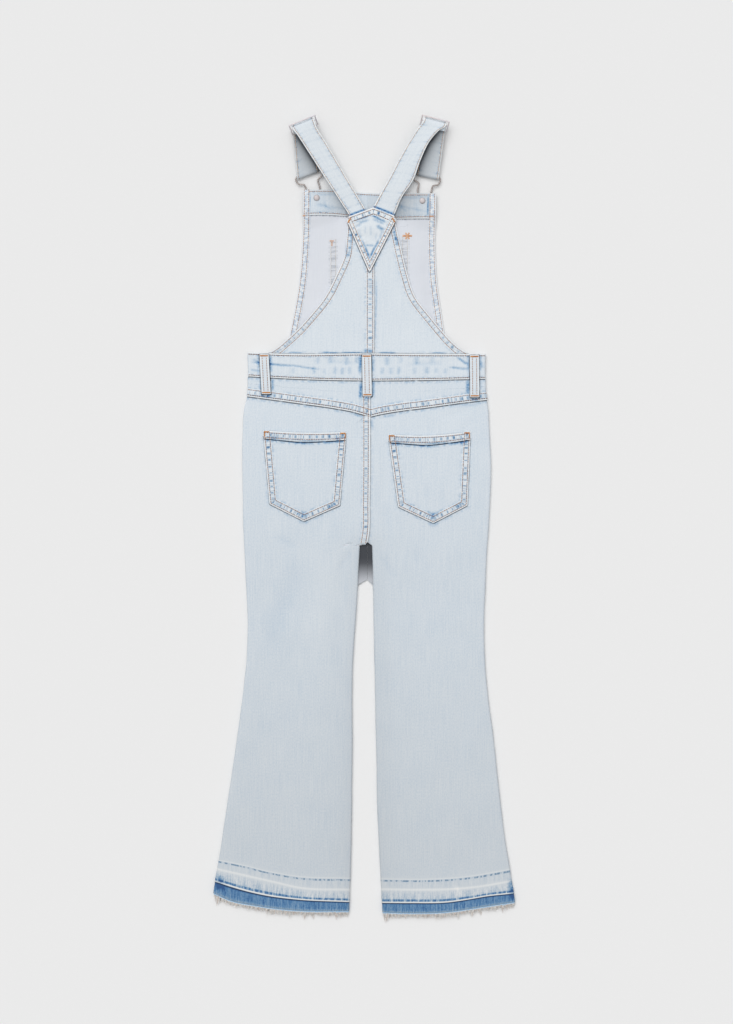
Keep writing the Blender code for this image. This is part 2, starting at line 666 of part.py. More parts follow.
def back_pockets():
    u = np.array([0.0, 0.08, 0.1, 0.3, 0.5, 0.7, 0.9, 0.92, 1.0])
    v = np.array([0.0, 0.09, 0.11, 0.4, 0.7, 0.9, 0.915, 1.0])
    for side, corner in POCKETS.items():
        corner = {key: np.array(place) for key, place in corner.items()}

        def plan(u, v, corner=corner):
            half = u < 0.5
            share = np.where(half, u * 2, u * 2 - 1)[..., None]
            half = half[..., None]
            low = np.where(half, corner["low_left"] + share * (corner["point"] - corner["low_left"]),
                           corner["point"] + share * (corner["low_right"] - corner["point"]))
            top = corner["top_left"] + u[..., None] * (corner["top_right"] - corner["top_left"])
            sag = corner["top_middle"] - (corner["top_left"] + corner["top_right"]) / 2
            top = top + sag * np.sin(math.pi * u)[..., None]
            return low + v[..., None] * (top - low)

        def surface(u, v, plan=plan):
            place = plan(u, v)
            x, y = place[..., 0], place[..., 1]
            z = back_height(x, y) + DENIM / 2 + SEAM_GAP + POCKET_WALL / 2
            return np.stack([x, y, z], axis=-1)

        def relief(u, v, points):
            hem = 0.8 * ease((v - 0.9) / 0.015)
            edge = np.minimum(np.minimum(u, 1 - u), v)
            return np.maximum(hem, POCKET_FOLD * ease((0.1 - edge) / 0.02))

        cloth("back_pocket_" + side, surface, u, v, wall=POCKET_WALL, relief=relief)


LOOP_WALL = 2.0
LOOP_WIDTH = 12.5
LOOP_STAND = 0.8            # how far a loop stands off the waistband
# name: x and y of the upper end, x and y of the lower end
LOOPS = {
    "left": (-143.8, 265.0, -140.8, 209.5),
    "centre": (-0.5, 264.5, 0.5, 206.5),
    "right": (150.0, 264.0, 150.5, 205.0),
}


def belt_loops():
    for side, (top_x, top_y, low_x, low_y) in LOOPS.items():
        def surface(u, v, top_x=top_x, top_y=top_y, low_x=low_x, low_y=low_y):
            x = low_x + (top_x - low_x) * v + (u - 0.5) * LOOP_WIDTH
            y = low_y + (top_y - low_y) * v
            on_band = band_height(x, y) + BAND / 2
            on_yoke = back_height(x, y) + DENIM / 2 + FELL
            over = ease(v / 0.25)
            bed = on_yoke + (np.maximum(on_band, on_yoke) - on_yoke) * over
            stand = LOOP_STAND * over * ease((1 - v) / 0.2)
            return np.stack([x, y, bed + SEAM_GAP + stand + LOOP_WALL / 2], axis=-1)

        cloth("belt_loop_" + side, surface, np.array([0.0, 0.5, 1.0]),
              np.array([0.0, 0.12, 0.25, 0.45, 0.7, 0.85, 1.0]), wall=LOOP_WALL)


# ---------------------------------------------------------------- straps
SLIDER_BAR_Z = 14.0
SLIDER_WIDTH = 40.0
SLIDER_WIRE = 1.8           # square bars of the slider
SLIDER_REACH = 9.6          # middle bar to the outer bars
SLIDER_LEAN = math.radians(34)
END_WRAP = WIRE_RADIUS + SEAM_GAP + STRAP / 2       # strap's middle round a bar
FOLD_WRAP = END_WRAP + STRAP + SEAM_GAP             # strap's middle round that wrap
CLASP_Z = END_WRAP + STRAP / 2 + 0.2

# the strap from the patch to its slider: x, y and z of its left edge, then of its right edge
STRAP_RUN = {
    "left": (
        (-20.5, 450.0, STRAP_ON_BACK_Z, 2.6, 461.0, STRAP_ON_BACK_Z),
        (-26.0, 461.3, 7.0, -3.8, 470.4, 7.0),
        (-35.0, 475.0, 8.6, -12.0, 484.4, 8.2),
        (-45.2, 490.7, 10.8, -21.5, 499.9, 10.0),
        (-65.2, 521.0, 15.0, -39.4, 529.9, 12.6),
        (-85.0, 551.5, 18.0, -57.3, 560.0, 15.4),
        (-98.3, 571.5, 19.2, -71.0, 582.4, 18.2),
    ),
    "right": (
        (4.1, 461.0, STRAP_ON_BACK_Z, 33.0, 450.0, STRAP_ON_BACK_Z),
        (8.8, 470.5, 7.0, 38.6, 461.0, 7.0),
        (17.0, 486.0, 8.8, 47.5, 482.0, 9.6),
        (31.5, 511.8, 11.2, 64.5, 508.0, 13.6),
        (45.5, 538.0, 13.6, 75.0, 536.0, 17.4),
        (57.7, 558.9, 15.8, 86.6, 560.0, 19.6),
        (69.5, 577.5, 17.8, 100.2, 576.0, 19.6),
    ),
}
CLASP_TO_BUTTON = 36.9      # the clasp's bar to the neck of the button it is hooked on
# middle of the slider's middle bar, and the ways the slider and the clasp point from their folds
HARDWARE = {
    "left": {"slider": (-88.5, 584.4), "slider_out": (-0.381, 0.925), "clasp_out": (0.338, -0.941)},
    "right": {"slider": (94.4, 587.0), "slider_out": (0.245, 0.970), "clasp_out": (-0.200, -0.980)},
}


def flat(pair, z=0.0):
    return np.array([pair[0], pair[1], z])


def clasp_bar(side):
    """Middle of the clasp's bar."""
    return flat(BUTTONS[side], CLASP_Z) - CLASP_TO_BUTTON * flat(HARDWARE[side]["clasp_out"])


def width_way(out):
    """Unit vector along a bar, towards +x, from the way its fold points."""
    out_x, out_y = out
    way = np.array([abs(out_y), -out_x * np.sign(out_y), 0.0])
    return way / np.linalg.norm(way)


def wrap(bar, out, radius, start, end, steps):
    """Middles of a strap's sections round a bar. Angles run from straight up, outwards."""
    angles = np.radians(np.linspace(start, end, steps))
    out = flat(out)
    return [bar + radius * (out * math.sin(a) + np.array([0.0, 0.0, math.cos(a)])) for a in angles]


def strap_sections(side):
    """Left and right edge points of each section, from the patch to the sewn end."""
    parts = HARDWARE[side]
    half = STRAP_WIDTH / 2
    slider, clasp = flat(parts["slider"], SLIDER_BAR_Z), clasp_bar(side)
    slider_way, clasp_way = width_way(parts["slider_out"]), width_way(parts["clasp_out"])
    slider_out, clasp_out = parts["slider_out"], parts["clasp_out"]
    sections = [(np.array(row[:3]), np.array(row[3:])) for row in STRAP_RUN[side]]

    def add(middles, way):
        for middle in middles:
            sections.append((middle - way * half, middle + way * half))

    def bridge(start, end, way_start, way_end, bows):
        for share, bow in bows:
            middle = start + (end - start) * share + np.array([0.0, 0.0, bow])
            way = way_start + (way_end - way_start) * share
            add([middle], way / np.linalg.norm(way))

    fold = wrap(slider, slider_out, FOLD_WRAP, 0, 180, 8)
    clasp_fold = wrap(clasp, clasp_out, END_WRAP, 180, 0, 7)
    end_fold = wrap(slider, slider_out, END_WRAP, 180, 0, 7)
    add(fold, slider_way)
    bridge(fold[-1], clasp_fold[0], slider_way, clasp_way, ((0.12, 0.7), (0.5, 0.9), (0.88, 0.1)))
    add(clasp_fold, clasp_way)
    bridge(clasp_fold[-1], end_fold[0], clasp_way, slider_way, ((0.12, 0.0), (0.5, 0.3), (0.88, 0.2)))
    add(end_fold, slider_way)
    add([end_fold[-1] - 8.0 * flat(slider_out)], slider_way)
    return sections


def straps():
    for side in HARDWARE:
        edges = np.array(strap_sections(side))
        middle = edges.mean(axis=1)
        way = edges[:, 1] - edges[:, 0]
        along = np.gradient(middle, axis=0)
        normal = np.cross(way, along)
        normal /= np.linalg.norm(normal, axis=1, keepdims=True)
        grid = np.stack([edges[:, 0], middle, edges[:, 1]], axis=0)
        out = normal[None] * STRAP / 2
        wall_between("strap_" + side, "denim", grid + out, grid - out)


# ---------------------------------------------------------------- metal
def ring_tube(name, path, radius, sides=6):
    """A closed wire along a closed path that lies nearly level."""
    path = np.array(path)
    along = np.roll(path, -1, axis=0) - np.roll(path, 1, axis=0)
    across = np.cross(along, [0.0, 0.0, 1.0])
    across /= np.linalg.norm(across, axis=1, keepdims=True)
    up = np.cross(across, along)
    up /= np.linalg.norm(up, axis=1, keepdims=True)
    count = len(path)
    vertices, faces = [], []
    for centre, a, b in zip(path, across, up):
        for k in range(sides):
            angle = 2 * math.pi * k / sides
            vertices.append(centre + radius * (a * math.cos(angle) + b * math.sin(angle)))
    for i in range(count):
        for k in range(sides):
            j, m = (i + 1) % count, (k + 1) % sides
            faces.append([i * sides + k, i * sides + m, j * sides + m, j * sides + k])
    return build(name, "nickel", vertices, faces)


# half of the clasp's wire: half width, distance from the strap's bar
CLASP_HALF = (
    (0.0, 0.0), (16.6, 0.0), (18.3, 1.7), (18.0, 7.5), (16.4, 10.6), (12.8, 11.8), (10.2, 13.4),
    (9.6, 18.0), (9.4, 24.0), (7.4, 28.6), (4.8, 32.4), (4.3, 36.5), (3.2, 39.8), (0.0, 41.2),
)


def clasps():
    half = np.array(CLASP_HALF)
    lengths = np.concatenate([[0.0], np.cumsum(np.hypot(*np.diff(half, axis=0).T))])
    width = curve(list(zip(lengths, half[:, 0])))
    reach = curve(list(zip(lengths, half[:, 1])))
    stops = np.concatenate([[0.0, 8.0], np.linspace(14.5, lengths[-1], 23)])
    halves = [(float(width(at)), float(reach(at))) for at in stops]
    outline = halves + [(-w, r) for w, r in reversed(halves[1:-1])]
    for side, parts in HARDWARE.items():
        way, out = width_way(parts["clasp_out"]), flat(parts["clasp_out"])
        bar = clasp_bar(side)
        path = [bar + way * w + out * r for w, r in outline]
        ring_tube("clasp_" + side, path, WIRE_RADIUS)


def sliders():
    """A frame of three bars, standing in the strap's fold and leaning out over it."""
    half_width = SLIDER_WIDTH / 2
    half_bar = SLIDER_WIRE / 2
    inner = half_width - SLIDER_WIRE
    across = [-half_width, -inner, inner, half_width]
    reach = SLIDER_REACH
    bars = [-reach - half_bar, -reach + half_bar, -half_bar, half_bar, reach - half_bar, reach + half_bar]
    open_cells = {(1, 1), (1, 3)}
    for side, parts in HARDWARE.items():
        way, out = width_way(parts["slider_out"]), flat(parts["slider_out"])
        rise = out * math.sin(SLIDER_LEAN) + np.array([0.0, 0.0, math.cos(SLIDER_LEAN)])
        thick = np.cross(way, rise)
        middle = flat(parts["slider"], SLIDER_BAR_Z)
        shape = bmesh.new()
        corners = {}
        for depth in (-half_bar, half_bar):
            for i, a in enumerate(across):
                for j, b in enumerate(bars):
                    point = middle + way * a + rise * b + thick * depth
                    corners[depth, i, j] = shape.verts.new(point)
        filled = {(i, j) for i in range(3) for j in range(5)} - open_cells
        for i, j in filled:
            square = [(i, j), (i + 1, j), (i + 1, j + 1), (i, j + 1)]
            for depth in (-half_bar, half_bar):
                shape.faces.new([corners[depth, *place] for place in square])
            for near, (here, there) in (((i, j - 1), (square[0], square[1])),
                                        ((i + 1, j), (square[1], square[2])),
                                        ((i, j + 1), (square[2], square[3])),
                                        ((i - 1, j), (square[3], square[0]))):
                if near not in filled:
                    shape.faces.new([corners[-half_bar, *here], corners[-half_bar, *there],
                                     corners[half_bar, *there], corners[half_bar, *here]])
        bmesh.ops.recalc_face_normals(shape, faces=shape.faces)
        sharp = [edge for edge in shape.edges if edge.calc_face_angle() > 1.0]
        bmesh.ops.bevel(shape, geom=sharp, offset=half_bar * 0.45, segments=1, affect="EDGES")
        bmesh.ops.dissolve_limit(shape, angle_limit=0.01, verts=shape.verts, edges=shape.edges)
        vertices = [np.array(vert.co) for vert in shape.verts]
        for index, vert in enumerate(shape.verts):
            vert.index = index
        faces = [[vert.index for vert in face.verts] for face in shape.faces]
        shape.free()
        build("slider_" + side, "nickel", vertices, faces)


def turned(name, place, profile, sides):
    """A solid turned about a vertical line, from (radius, height) rows, bottom to top."""
    rings = profile[1:-1]
    vertices = [flat(place, profile[0][1])]
    for radius, height in rings:
        for k in range(sides):
            angle = 2 * math.pi * k / sides
            vertices.append(flat((place[0] + radius * math.cos(angle),
                                  place[1] + radius * math.sin(angle)), height))
    vertices.append(flat(place, profile[-1][1]))
    last = len(vertices) - 1
    faces = []
    for k in range(sides):
        m = (k + 1) % sides
        faces.append([0, 1 + m, 1 + k])
        for ring in range(len(rings) - 1):
            base, above = 1 + ring * sides, 1 + (ring + 1) * sides
            faces.append([base + k, base + m, above + m, above + k])
        top = 1 + (len(rings) - 1) * sides
        faces.append([top + k, top + m, last])
    return build(name, "nickel", vertices, faces)


TACK_RADIUS = 4.2


def buttons():
    """Shank buttons under the bib, and the tack heads that hold them on its facing."""
    neck_top = BUTTON_LIFT - SEAM_GAP
    facing_top = BUTTON_LIFT + DENIM + ON_DENIM
    for side, place in BUTTONS.items():
        turned("button_" + side, place,
               ((0, 0), (BUTTON_RADIUS - 1.6, 0), (BUTTON_RADIUS, 0.9), (BUTTON_RADIUS - 0.4, BUTTON_HEAD),
                (NECK_RADIUS + 0.4, BUTTON_HEAD), (NECK_RADIUS, neck_top), (0, neck_top)), 16)
        low = facing_top + SEAM_GAP
        turned("button_tack_" + side, place,
               ((0, low), (TACK_RADIUS, low), (TACK_RADIUS, low + 0.5), (TACK_RADIUS - 1.4, low + 1.3),
                (0, low + 1.5)), 12)


# ---------------------------------------------------------------- frayed hems
FRAY_STRIP = 2.0
FRAY_WALL = 0.9
# hem: locks across it, drop of the tips towards the surface
FRAY = {"back": (36, 1.4), "front": (28, 0.1)}


def fray(name, surface, count, droop, seed):
    """A strip parted from the raw hem, its lower edge ravelled into pointed locks."""
    rng = np.random.default_rng(seed)
    dense = np.linspace(0.0, 1.0, 400)
    points, normal = sample(surface, dense, np.zeros_like(dense))
    normal *= np.sign(np.mean(normal[:, 2]))
    lengths = np.concatenate([[0.0], np.cumsum(np.linalg.norm(np.diff(points, axis=0), axis=1))])
    stops = np.linspace(0.4, lengths[-1] - 0.4, count + 1)

    def at(values, place):
        return np.array([np.interp(place, lengths, values[:, axis]) for axis in range(3)])

    down = np.array([0.0, -1.0, 0.0])
    vertices, faces = [], []
    for place in stops:
        base, out = at(points, place), at(normal, place) * FRAY_WALL / 2
        top, low = base + down * SEAM_GAP, base + down * (SEAM_GAP + FRAY_STRIP)
        vertices += [top + out, top - out, low + out, low - out]
    for cell in range(count):
        a, b = 4 * cell, 4 * cell + 4
        faces += [[a, b, b + 1, a + 1], [a, a + 2, b + 2, b], [a + 1, b + 1, b + 3, a + 3]]
        place = (stops[cell] + stops[cell + 1]) / 2
        length, lean = rng.uniform(2.6, 6.6), rng.uniform(-1.4, 1.4)
        half = (stops[1] - stops[0]) * rng.uniform(0.16, 0.26)
        base, out = at(points, place), at(normal, place) * FRAY_WALL / 3
        waist = base + down * (SEAM_GAP + FRAY_STRIP + length * 0.5) + np.array([lean * 0.4, 0, 0])
        tip = base + down * (SEAM_GAP + FRAY_STRIP + length) + np.array([lean, 0, 0])
        tip[2] = max(tip[2] - droop * length / 5.0, 0.3)
        side = np.array([half, 0.0, 0.0])
        ring = len(vertices)
        vertices += [waist - side + out, waist + side + out, waist + side - out, waist - side - out, tip]
        root = [a + 2, b + 2, b + 3, a + 3]
        for k in range(4):
            m = (k + 1) % 4
            faces.append([root[k], root[m], ring + m, ring + k])
            faces.append([ring + k, ring + m, ring + 4])
    end = 4 * count
    faces += [[0, 1, 3, 2], [end, end + 2, end + 3, end + 1]]
    return build(name, "raw_hem", vertices, faces, smooth=False)


def frayed_hems():
    folded_back, folded_front = below_fork(0.0), below_fork(FRONT_FORK_Y)
    for layer, height, folded in (("back", back_height, folded_back),
                                  ("front", front_height, folded_front)):
        count, droop = FRAY[layer]
        for side, low, edges, folds in (
                ("left", hem_left, (left_side, left_inseam), (1, folded)),
                ("right", hem_right, (right_inseam, right_side), (folded, 1))):
            surface = panel(*edges, low, yoke_seam, height, folds, borders=(LET_DOWN, None))
            fray("fray_%s_%s" % (layer, side), surface, count, droop, seed=len(layer) + count)


def main():
    for old in list(bpy.data.objects):
        bpy.data.objects.remove(old)
    for make in (front_legs, back_legs, back_yokes, waistbands, bib, bib_pocket, upper_backs,
                 strap_patch, back_pockets, belt_loops, straps, clasps, sliders, buttons,
                 frayed_hems):
        make()


main()
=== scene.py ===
"""Looks of the kids' dungarees, laid flat with the back uppermost.

Every cut piece gets a fine shell of washed denim on the form of its solid, with the seams'
puckers, the turned edges and the laid creases in the mesh. Top stitching, bar tacks and the
ravelled hems are yarns of their own, and the metal is nickel plated wire.

Lengths are millimetres in the garment's own frame, as on a cutting table: x across from the
centre back line, y from the crotch towards the straps, z up. LAID moves it into the row frame.
"Left" is the wearer's left, at -x.
"""
import json
import math
from functools import partial

import bpy
import numpy as np
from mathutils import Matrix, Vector
from mathutils.bvhtree import BVHTree

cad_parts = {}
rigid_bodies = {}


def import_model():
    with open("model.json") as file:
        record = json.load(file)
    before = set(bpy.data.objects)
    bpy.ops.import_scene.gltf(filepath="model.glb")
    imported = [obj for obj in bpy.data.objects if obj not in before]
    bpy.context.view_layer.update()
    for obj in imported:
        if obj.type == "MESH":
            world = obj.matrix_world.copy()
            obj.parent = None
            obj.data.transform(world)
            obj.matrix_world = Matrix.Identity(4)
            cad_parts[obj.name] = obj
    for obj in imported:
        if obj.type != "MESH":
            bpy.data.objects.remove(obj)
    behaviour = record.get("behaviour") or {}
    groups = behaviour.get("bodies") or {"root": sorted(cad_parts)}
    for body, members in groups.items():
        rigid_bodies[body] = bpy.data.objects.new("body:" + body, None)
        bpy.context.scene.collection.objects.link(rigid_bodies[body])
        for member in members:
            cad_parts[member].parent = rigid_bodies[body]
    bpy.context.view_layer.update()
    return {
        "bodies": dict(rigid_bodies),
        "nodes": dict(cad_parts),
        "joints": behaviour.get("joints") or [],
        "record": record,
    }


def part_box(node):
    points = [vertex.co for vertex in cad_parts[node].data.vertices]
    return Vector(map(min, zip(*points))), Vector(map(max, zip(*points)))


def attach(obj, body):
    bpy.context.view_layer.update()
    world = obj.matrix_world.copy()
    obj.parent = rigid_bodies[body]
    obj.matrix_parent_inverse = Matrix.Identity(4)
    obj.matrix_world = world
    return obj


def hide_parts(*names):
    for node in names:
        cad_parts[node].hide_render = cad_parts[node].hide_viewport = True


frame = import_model()

MM = 0.001

# ------------------------ driving dimensions
SEAM_GAP = 0.3
DENIM = 1.4                 # one wall of cloth
BAND = 3.0                  # waistband, two walls and their seam allowances
STRAP = 2.0                 # strap, turned and pressed flat
POCKET_WALL = 1.2
LOOP_WALL = 2.0
FOLD_RADIUS = 2.0           # middle of the wall, where a leg's cloth rolls round its side
EDGE_STRIP = 8.0
BODY_STRIP = DENIM / 2 + FOLD_RADIUS + EDGE_STRIP
STRAP_WIDTH = 32.0
LOOP_WIDTH = 12.5
FELL = 0.8                  # extra height of a flat-felled seam
HEM_FOLD = 0.9              # extra height where an edge is turned and stitched
# strips of finer grid along the upper and lower edges
EDGE_BORDER, TOP_BORDER, BAND_BORDER = 10.0, 13.0, 8.0

FRONT_Z = DENIM / 2
FOLD_Z = FRONT_Z + FOLD_RADIUS
BACK_Z = FOLD_Z + FOLD_RADIUS
FRONT_BAND_Z = BAND / 2
BACK_BAND_Z = FRONT_BAND_Z + BAND + SEAM_GAP
BAND_FOLD_Z = (FRONT_BAND_Z + BACK_BAND_Z) / 2
ON_DENIM = DENIM + SEAM_GAP
STRAP_ON_BACK_Z = BACK_Z + DENIM / 2 + SEAM_GAP + STRAP / 2

# ------------------------ outlines
LEFT_RIGHT = ("left", "right")
# y, x of the left side, x of the right side
SIDES = (
    (268, -167, 166), (232, -167, 166), (208, -167.5, 167),
    (190, -171.5, 169.5), (157, -174, 171.5), (98, -174, 173.5),
    (39, -173.5, 171), (-28, -170.5, 167), (-112, -167, 164),
    (-162, -168.5, 165), (-213, -174, 169.5), (-280, -183, 178),
    (-347, -193, 185), (-414, -203, 193.5), (-482, -214, 204.5),
    (-520, -219, 210),
)
# y, inner edge of the left leg, inner edge of the right leg
INSEAMS = (
    (2, -9.8, 7), (-56, -12.6, 8.4), (-101, -15.4, 9), (-160, -19.4, 10.4),
    (-274, -20.4, 12.6), (-377, -21.2, 14.8), (-427, -22, 17), (-520, -25, 21.8),
)
# x, y of lines across each let-down hem, from the raw edge up
HEM_LINES = {
    "left": {
        "raw": ((-216, -487), (-192, -497.5), (-153, -505.5), (-104, -511.5), (-25, -513)),
        "old_fold": ((-208.2, -472.6), (-169.7, -484.1), (-141.1, -490.6), (-103.9, -495.6),
                     (-26.7, -499.8)),
        "worn": ((-196, -457), (-126.8, -472.6), (-98.3, -479.5), (-23.9, -483)),
        "unpicked": ((-207.2, -442.4), (-172.2, -449.4), (-138.6, -457.8), (-98, -464.8),
                     (-24.5, -467.6)),
    },
    "right": {
        "raw": ((21, -514.5), (55, -515.5), (112, -514), (161, -507), (208, -500)),
        "old_fold": ((21.7, -501.1), (60.6, -501.1), (113, -500.2), (141, -496.3),
                     (167.7, -491.7), (201.3, -488.3)),
        "worn": ((21.7, -482.2), (73.9, -482.8), (120.8, -481.8), (154.4, -478.9), (199.9, -471.2)),
        "unpicked": ((20.4, -468.6), (87.4, -468.9), (114.2, -467.6), (141, -465.1),
                     (197.3, -455.6)),
    },
}
# usual height of those lines above the raw edge
HEM_HEIGHTS = {"raw": 0, "old_fold": 14, "worn": 33, "unpicked": 47}
LET_DOWN = HEM_HEIGHTS["unpicked"]

# x, y of the seam where the yoke lies on the legs
YOKE_SEAM = ((-168, 206.5), (-87, 195.5), (-45, 189.5), (-20.6, 185), (-4, 180.4),
             (3.4, 178.2), (4.6, 177.8), (5.8, 178.1), (16, 180.6), (46, 185.8), (76, 189.5),
             (143, 198.5), (168, 201.5))
# x, y of the waistband's lower and upper edges
BAND_LOW = ((-168, 234.5), (-106, 231), (-8, 228.5), (76, 229), (168, 231))
BAND_TOP = ((-168, 268), (-106, 265.5), (-8, 266.5), (76, 265.5), (168, 265.5))
# y, x of the bib's left and right edges
BIB_SIDES = (
    (262, -112.5, 114), (296, -107.5, 108), (323, -102, 104),
    (361, -95.5, 98.5), (412, -91, 95.5), (458, -89.5, 96), (496, -89.5, 96.5),
)
BIB_TOP = ((-92, 495), (-50, 495), (0, 491), (98, 490))
# y, x of the upper back's left and right armhole edges
ARMHOLES = (
    (266, -140, 142.5), (270.5, -131.5, 134), (283, -115.5, 118.5),
    (298, -99, 105), (321, -78, 86), (342, -61, 69.5), (377, -42.5, 56.5),
    (403, -31.5, 50), (430, -28.5, 44), (456, -26.5, 38.5),
)
UPPER_BACK_TOP = 455.0
BACK_SEAM_X = 10.0
# the front's fork lies this far below the back's, and the painted shade on it stands in for the shadow in the
# gap between the legs
FRONT_FORK_Y = -50.0
FORK_CORNER = 1.6
# y, x of the seat seam
SEAT_SEAM = ((-30, 0.5), (0, 0.7), (14, 3), (60, 4), (240, 4.5))
# y, x of the patch's left and right edges; x, y of its peaked top
PATCH_SIDES = (
    (381.5, 2.4, 4.6), (417, -12.8, 22.5), (452.5, -28.2, 40.4), (458, -25, 38),
    (470, -19, 32),
)
PATCH_TOP = ((-28, 456.5), (-9, 463.5), (8.7, 470), (23, 465), (40, 457.5))
STRAP_END_Y = 448.0
# corner: x, y
POCKETS = {
    "left": {"top_left": (-144.8, 158.5), "top_middle": (-88, 155.5), "top_right": (-28.8, 156.5),
             "low_left": (-135.8, 56), "low_right": (-38, 54), "point": (-88.2, 32)},
    "right": {"top_left": (29.8, 153), "top_middle": (86.5, 151.5), "top_right": (144.5, 157),
              "low_left": (44, 52), "low_right": (140.2, 54), "point": (92.8, 29.4)},
}
# x and y of a loop's upper end, x and y of its lower end
LOOPS = {
    "left": (-143.8, 265, -140.8, 209.5),
    "centre": (-0.5, 264.5, 0.5, 206.5),
    "right": (150, 264, 150.5, 205),
}
LOOP_STAND = 0.8
BIB_POCKET = {"left": -52, "right": 58, "low": 322, "high": 427}
BIB_POCKET_FOOT = ((-52, 338), (3, 322), (58, 338))     # x, y, with a blunt point

# soft troughs (-) and ridges (+): start, end, sideways bow, half width, height
FOLDS = (
    # x0,    y0,    x1,    y1,   bow, half, height
    (21, 172, 24, -20, 3, 7, -0.7),
    (24, -8, 36, -300, 4, 9, -0.8),
    (36, -250, 44, -470, -3, 11, -0.5),
    (12, -10, 19, -190, 2, 6, 0.5),
    (-24, 60, -38, -230, -6, 9, -0.6),
    (-44, -210, -58, -440, 6, 14, -0.4),
    (-66, -20, -98, -340, 10, 24, 0.5),
    (96, 10, 118, -360, -8, 26, 0.5),
    (150, 192, 98, 178, 4, 6, -0.5),
    (-156, 22, -112, -14, 4, 8, 0.35),
    (-160, -104, -104, -132, -4, 9, 0.35),
    (154, -92, 110, -118, 5, 9, 0.35),
)
FOLD_FADE = 0.25
CROWN = 0.9                 # how far the pressed cloth stands up within its edges
CROWN_REACH = 14.0


# ------------------------ curves and folds
def curve(rows, column=1):
    """A smooth line through a table's rows, read at any value of its first column."""
    table = np.array(rows, dtype=float)
    table = table[np.argsort(table[:, 0])]
    places, values = table[:, 0], table[:, column]
    slopes = np.gradient(values, places)

    def read(place):
        place = np.asarray(place, dtype=float)
        inside = np.clip(place, places[0], places[-1])
        row = np.clip(np.searchsorted(places, inside) - 1, 0, len(places) - 2)
        step = places[row + 1] - places[row]
        t = (inside - places[row]) / step
        smooth = ((2 * t ** 3 - 3 * t ** 2 + 1) * values[row]
                  + (t ** 3 - 2 * t ** 2 + t) * step * slopes[row]
                  + (3 * t ** 2 - 2 * t ** 3) * values[row + 1]
                  + (t ** 3 - t ** 2) * step * slopes[row + 1])
        end_slope = np.where(place < places[0], slopes[0], slopes[-1])
        return smooth + (place - inside) * end_slope

    return read


def shifted(line, offset):
    """A line moved by an offset."""
    return lambda place: line(place) + offset


def ease(share):
    """0 to 1 with a level start and end."""
    share = np.clip(share, 0.0, 1.0)
    return share * share * (3.0 - 2.0 * share)


def bump(distance, half):
    """1 on a line, and nearly 0 at twice the half width from it."""
    return np.exp(-(distance / half) ** 2)


def lengths_along(points):
    """Length along a path to each of its points."""
    return np.concatenate([[0.0], np.cumsum(np.linalg.norm(np.diff(points, axis=0), axis=1))])


def read_at(places, stops, table):
    """Points read between the stops of a table of points."""
    return np.stack([np.interp(places, stops, column) for column in table.T], axis=-1)


left_side, right_side = curve(SIDES, 1), curve(SIDES, 2)
left_inseam, right_inseam = curve(INSEAMS, 1), curve(INSEAMS, 2)
seat_seam = curve(SEAT_SEAM)
yoke_seam = curve(YOKE_SEAM)
band_low, band_top = curve(BAND_LOW), curve(BAND_TOP)
bib_left, bib_right = curve(BIB_SIDES, 1), curve(BIB_SIDES, 2)
bib_top = curve(BIB_TOP)
armhole_left, armhole_right = curve(ARMHOLES, 1), curve(ARMHOLES, 2)
hem_lines = {side: {name: curve(rows) for name, rows in lines.items()}
             for side, lines in HEM_LINES.items()}


def below_fork(fork_y):
    """1 below the fork, where a leg's inner edge rolls over, and 0 above it."""
    return lambda y: ease((fork_y - y) / FORK_CORNER)


def fork_edge(inseam, fork_y, gap):
    """Inner edge of a leg piece: its centre seam above the fork, its inseam below."""
    below = below_fork(fork_y)
    return lambda y: (seat_seam(y) + gap) * (1 - below(y)) + inseam(y) * below(y)


def beside_line(x, y, x0, y0, x1, y1):
    """Share of the way along a straight line, distance out to its left, and its length."""
    length = math.hypot(x1 - x0, y1 - y0)
    along_x, along_y = (x1 - x0) / length, (y1 - y0) / length
    share = ((x - x0) * along_x + (y - y0) * along_y) / length
    return share, (y - y0) * along_x - (x - x0) * along_y, length


def fold_height(x, y):
    """Sum of the broad folds at some points of the back."""
    height = np.zeros_like(x)
    for *line, bow, half, rise in FOLDS:
        share, across, _ = beside_line(x, y, *line)
        middle = bow * np.sin(math.pi * np.clip(share, 0.0, 1.0))
        fade = ease(share / FOLD_FADE) * ease((1.0 - share) / FOLD_FADE)
        height = height + rise * fade * bump(across - middle, half)
    return height


def gap_distance(x, y):
    """Distance from the gap between the legs."""
    gap_y = np.minimum(y, 0.0)
    beside = np.maximum(left_inseam(gap_y) - x, x - right_inseam(gap_y))
    return np.where(y > 0, np.hypot(np.maximum(beside, 0.0), y), beside)


def edge_distance(x, y):
    """Distance in from the sides and from the gap between the legs."""
    sides = np.minimum(x - left_side(y), right_side(y) - x)
    return np.maximum(np.minimum(sides, gap_distance(x, y)), 0.0)


def back_height(x, y):
    """Middle of the wall of the back legs and yokes."""
    soft = 1.0 - np.exp(-edge_distance(x, y) / CROWN_REACH)
    return BACK_Z + soft * (CROWN + fold_height(x, y))


def front_height(x, y):
    return np.full_like(x, FRONT_Z)


# ------------------------ panels
ROLL_SHARE, STRIP_SHARE = 0.1, 0.2
NARROW = 0.3                # widest strip, as a share of the panel


